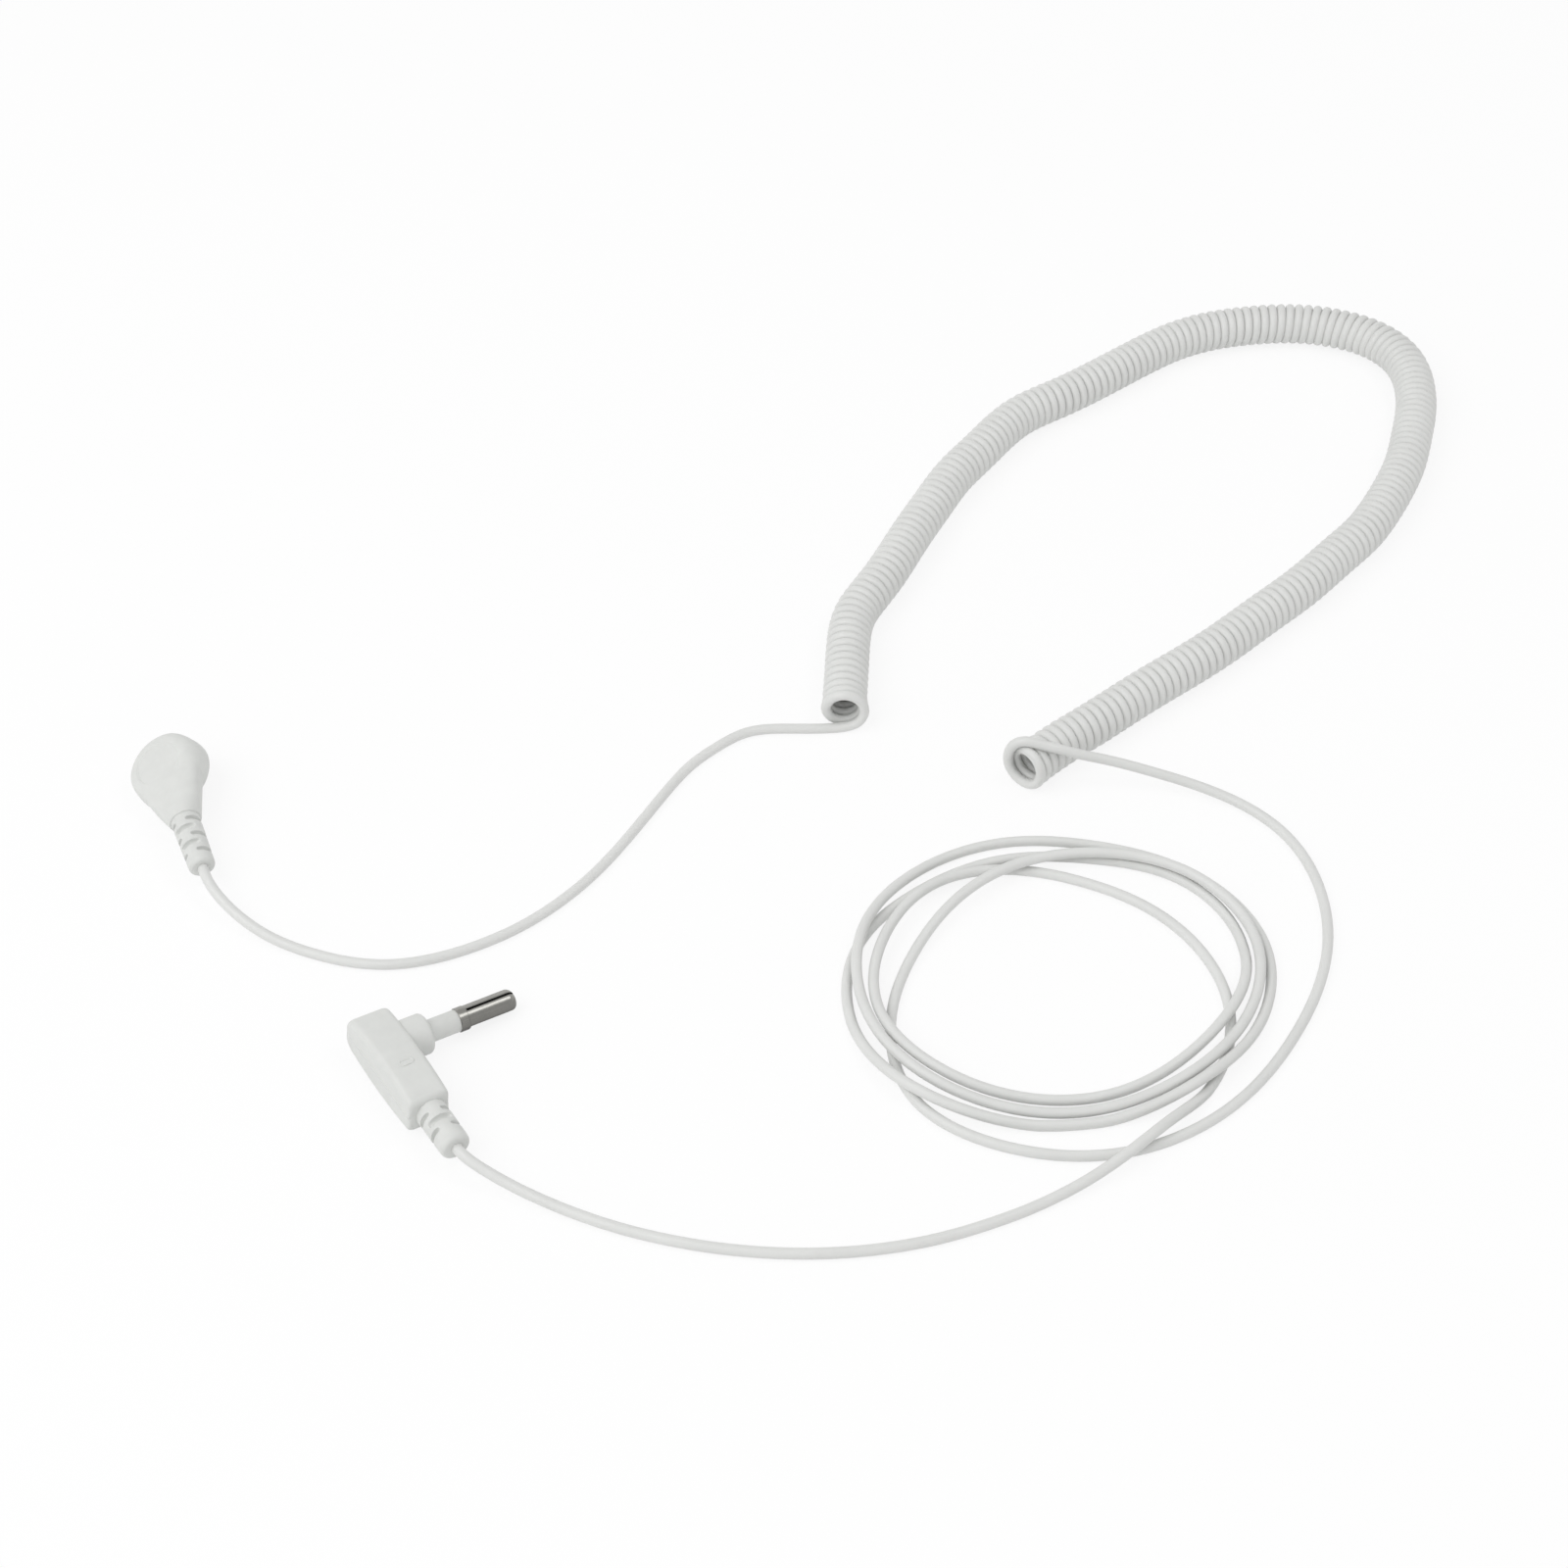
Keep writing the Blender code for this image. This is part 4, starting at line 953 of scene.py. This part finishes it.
def build_oval_mark(mat):
    """Small raised oval ring on top of the plug body, across it."""
    centre = Vector((MARK_X, MARK_Y, body_half_thickness(MARK_X)))
    straight = MARK_HALF_LENGTH - MARK_HALF_WIDTH
    wide, high = (MARK_RIB_R * share for share in MARK_RIB_SHAPE)
    sides, steps = MARK_SIDES, MARK_STEPS
    verts = []
    for i in range(steps):
        a = 2.0 * math.pi * i / steps
        outward = Vector((math.cos(a), math.sin(a), 0.0))
        shift = Vector((0.0, math.copysign(straight, outward.y) * smooth_step(abs(outward.y) * 4.0), 0.0))
        ring_centre = centre + shift + outward * MARK_HALF_WIDTH
        for k in range(sides):
            b = 2.0 * math.pi * k / sides
            verts.append(ring_centre + outward * (wide * math.cos(b))
                         + Vector((0, 0, high * math.sin(b))))
    faces = []
    for i in range(steps):
        j = (i + 1) % steps
        for k in range(sides):
            m = (k + 1) % sides
            faces.append((i * sides + k, i * sides + m, j * sides + m, j * sides + k))
    mark = solid("plug_oval_mark", verts, faces)
    return finish_piece(mark, PLUG_FRAME, "ground_cord", mat)


# ---- floor and light -------------------------------------------------------------------------
def ray_share(nodes, links):
    """One for camera, glossy and transmission rays, nought for the light itself."""
    path = nodes.new("ShaderNodeLightPath")
    total = path.outputs["Is Camera Ray"]
    for name in ("Is Glossy Ray", "Is Transmission Ray"):
        larger = nodes.new("ShaderNodeMath")
        larger.operation = "MAXIMUM"
        links.new(total, larger.inputs[0])
        links.new(path.outputs[name], larger.inputs[1])
        total = larger.outputs[0]
    return total


def see_as_white(mat, shader_output, share):
    """Let camera, glossy and transmission rays see a share of plain white in place of the shader."""
    nodes = mat.node_tree.nodes
    links = mat.node_tree.links
    glow = nodes.new("ShaderNodeEmission")
    glow.inputs["Strength"].default_value = 1.0
    total = ray_share(nodes, links)
    part = nodes.new("ShaderNodeMath")
    part.operation = "MULTIPLY"
    part.inputs[1].default_value = share
    links.new(total, part.inputs[0])
    mix = nodes.new("ShaderNodeMixShader")
    links.new(part.outputs[0], mix.inputs["Fac"])
    links.new(shader_output, mix.inputs[1])
    links.new(glow.outputs["Emission"], mix.inputs[2])
    links.new(mix.outputs["Shader"], nodes["Material Output"].inputs["Surface"])


def build_floor():
    mesh = bpy.data.meshes.new("floor")
    corners = [(FLOOR_CENTRE[0] + x * FLOOR_HALF, FLOOR_CENTRE[1] + y * FLOOR_HALF, FLOOR_Z)
               for x, y in ((-1, -1), (1, -1), (1, 1), (-1, 1))]
    mesh.from_pydata(corners, [], [(0, 1, 2, 3)])
    floor = link(bpy.data.objects.new("floor", mesh))
    shader = Shader("pale_floor", 0.9)
    shader.main.inputs["Specular IOR Level"].default_value = 0.1
    cloud = shader.noise(60.0, 3.0, 0.5)
    shader.colour(shader.ramp(cloud, [(0.3, (0.95, 0.95, 0.95)), (0.7, (0.965, 0.965, 0.965))]))
    see_as_white(shader.mat, shader.main.outputs["BSDF"], FLOOR_WHITE_SHARE)
    mesh.materials.append(shader.mat)


def add_lamp(name, place, side, watts):
    data = bpy.data.lights.new(name, "AREA")
    data.shape = "SQUARE"
    data.size = side
    data.energy = watts
    lamp = link(bpy.data.objects.new(name, data))
    lamp.location = place
    lamp.rotation_euler = (Vector(LIGHT_AIM) - Vector(place)).to_track_quat("-Z", "Y").to_euler()


def build_world():
    """Studio: a nearly even glow, a little stronger from the left and front, lights the object.

    Camera, glossy and transmission rays see white walls and a grey ceiling in its place.
    """
    world = bpy.data.worlds.new("studio")
    bpy.context.scene.world = world
    world.use_nodes = True
    nodes = world.node_tree.nodes
    links = world.node_tree.links
    nodes.clear()
    direction = nodes.new("ShaderNodeTexCoord").outputs["Generated"]

    def spread(value, source, target):
        node = nodes.new("ShaderNodeMapRange")
        for socket, number in zip(("From Min", "From Max", "To Min", "To Max"), source + target):
            node.inputs[socket].default_value = number
        links.new(value, node.inputs["Value"])
        return node.outputs["Result"]

    lean = nodes.new("ShaderNodeVectorMath")
    lean.operation = "DOT_PRODUCT"
    lean.inputs[1].default_value = GLOW_DIRECTION
    links.new(direction, lean.inputs[0])
    glow = nodes.new("ShaderNodeBackground")
    links.new(spread(lean.outputs["Value"], (-1.0, 1.0), GLOW_RANGE), glow.inputs["Color"])
    split = nodes.new("ShaderNodeSeparateXYZ")
    links.new(direction, split.inputs["Vector"])
    seen = nodes.new("ShaderNodeBackground")
    links.new(spread(split.outputs["Z"], WALL_TOP, (1.0, CEILING_GREY)), seen.inputs["Color"])
    mix = nodes.new("ShaderNodeMixShader")
    links.new(ray_share(nodes, links), mix.inputs["Fac"])
    links.new(glow.outputs["Background"], mix.inputs[1])
    links.new(seen.outputs["Background"], mix.inputs[2])
    out = nodes.new("ShaderNodeOutputWorld")
    links.new(mix.outputs["Shader"], out.inputs["Surface"])


def build_light():
    build_world()
    add_lamp("key", *KEY_LAMP)
    add_lamp("pin_streak", *PIN_LAMP)


# ---- assembly --------------------------------------------------------------------------------
def dress_cad_nodes(frame, mats):
    """Give every node that still shows from the solid model its procedural finish."""
    for name, mat in mats.items():
        obj = frame["nodes"][name]
        for slot in obj.material_slots:
            slot.material = mat


def main():
    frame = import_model()
    scene = bpy.context.scene
    scene.view_settings.view_transform = "Standard"
    add_camera()

    moulded = moulded_plastic("moulded_grey", MOULDED, roughness=0.5, grain_mm=0.22, grain_height_mm=0.006)
    relief = moulded_plastic("relief_grey", shaded(MOULDED, 0.99), roughness=0.52, grain_mm=0.2,
                             grain_height_mm=0.006)
    jacket = cord_jacket("cord_jacket", JACKET, roughness=0.42)
    nickel_pin = pin_metal("nickel_pin", PIN_NICKEL_PAINTED_SHADE, roughness=0.2)
    # Near-black copy of the nickel for the inside of the pin: painted shade.
    pin_inside_painted_shade = plated_metal("pin_inside_painted_shade", shaded(NICKEL, 0.03), roughness=0.6, streak_axis="Y")
    nickel = plated_metal("nickel_plate", NICKEL, roughness=0.24)
    # Near-black copy of the nickel for the shank within the pin: painted shade.
    nickel_shank_painted_shade = plated_metal("nickel_shank_painted_shade", shaded(NICKEL, 0.04), roughness=0.5, streak_axis="Y",
                                frame_matrix=PLUG_FRAME)
    tin_head = plated_metal("tinned_head", TIN, roughness=0.34, streak_axis="X", frame_matrix=HEAD_FRAME)
    tin_plug = plated_metal("tinned_plug", TIN, roughness=0.34, streak_axis="X", frame_matrix=PLUG_FRAME)
    wire = plated_metal("spring_wire", STEEL, roughness=0.28, streak_axis="X", frame_matrix=HEAD_FRAME,
                        streak_mm=0.06)
    copper_head = stranded_copper("copper_head", COPPER, HEAD_FRAME)
    copper_plug = stranded_copper("copper_plug", COPPER, PLUG_FRAME)
    enamel = banded_enamel("resistor_enamel", ENAMEL, HEAD_FRAME, start=RESISTOR_START_X,
                           length=RESISTOR_LENGTH)

    upper = build_plug_half("plug_upper_moulding", "plug_shell_upper", 1, moulded)
    lower = build_plug_half("plug_lower_moulding", "plug_shell_lower", -1, moulded)
    root = build_pin_moulding(moulded)
    pin = build_pin(nickel_pin, pin_inside_painted_shade)
    mark = build_oval_mark(moulded)
    plug_relief = build_relief("plug_relief_moulding", "plug_strain_relief", PLUG_RELIEF, PLUG_FRAME,
                               relief)
    build_cord(jacket)

    build_snap_head(moulded)
    build_relief("snap_relief_moulding", "snap_strain_relief", SNAP_RELIEF, HEAD_FRAME, relief)

    dress_cad_nodes(frame, {
        "stud_socket_cup": nickel, "socket_rivet": nickel, "contact_washer": tin_head,
        "spring_wire_left": wire, "spring_wire_right": wire, "resistor_body": enamel,
        "resistor_lead_front": tin_head, "resistor_lead_rear": tin_head,
        "snap_crimp_ferrule": tin_head, "snap_conductor": copper_head, "snap_jacket_tail": jacket,
        "contact_shank": nickel_shank_painted_shade, "plug_crimp_ferrule": tin_plug,
        "plug_conductor": copper_plug, "plug_jacket_tail": jacket})

    build_floor()
    build_light()


main()
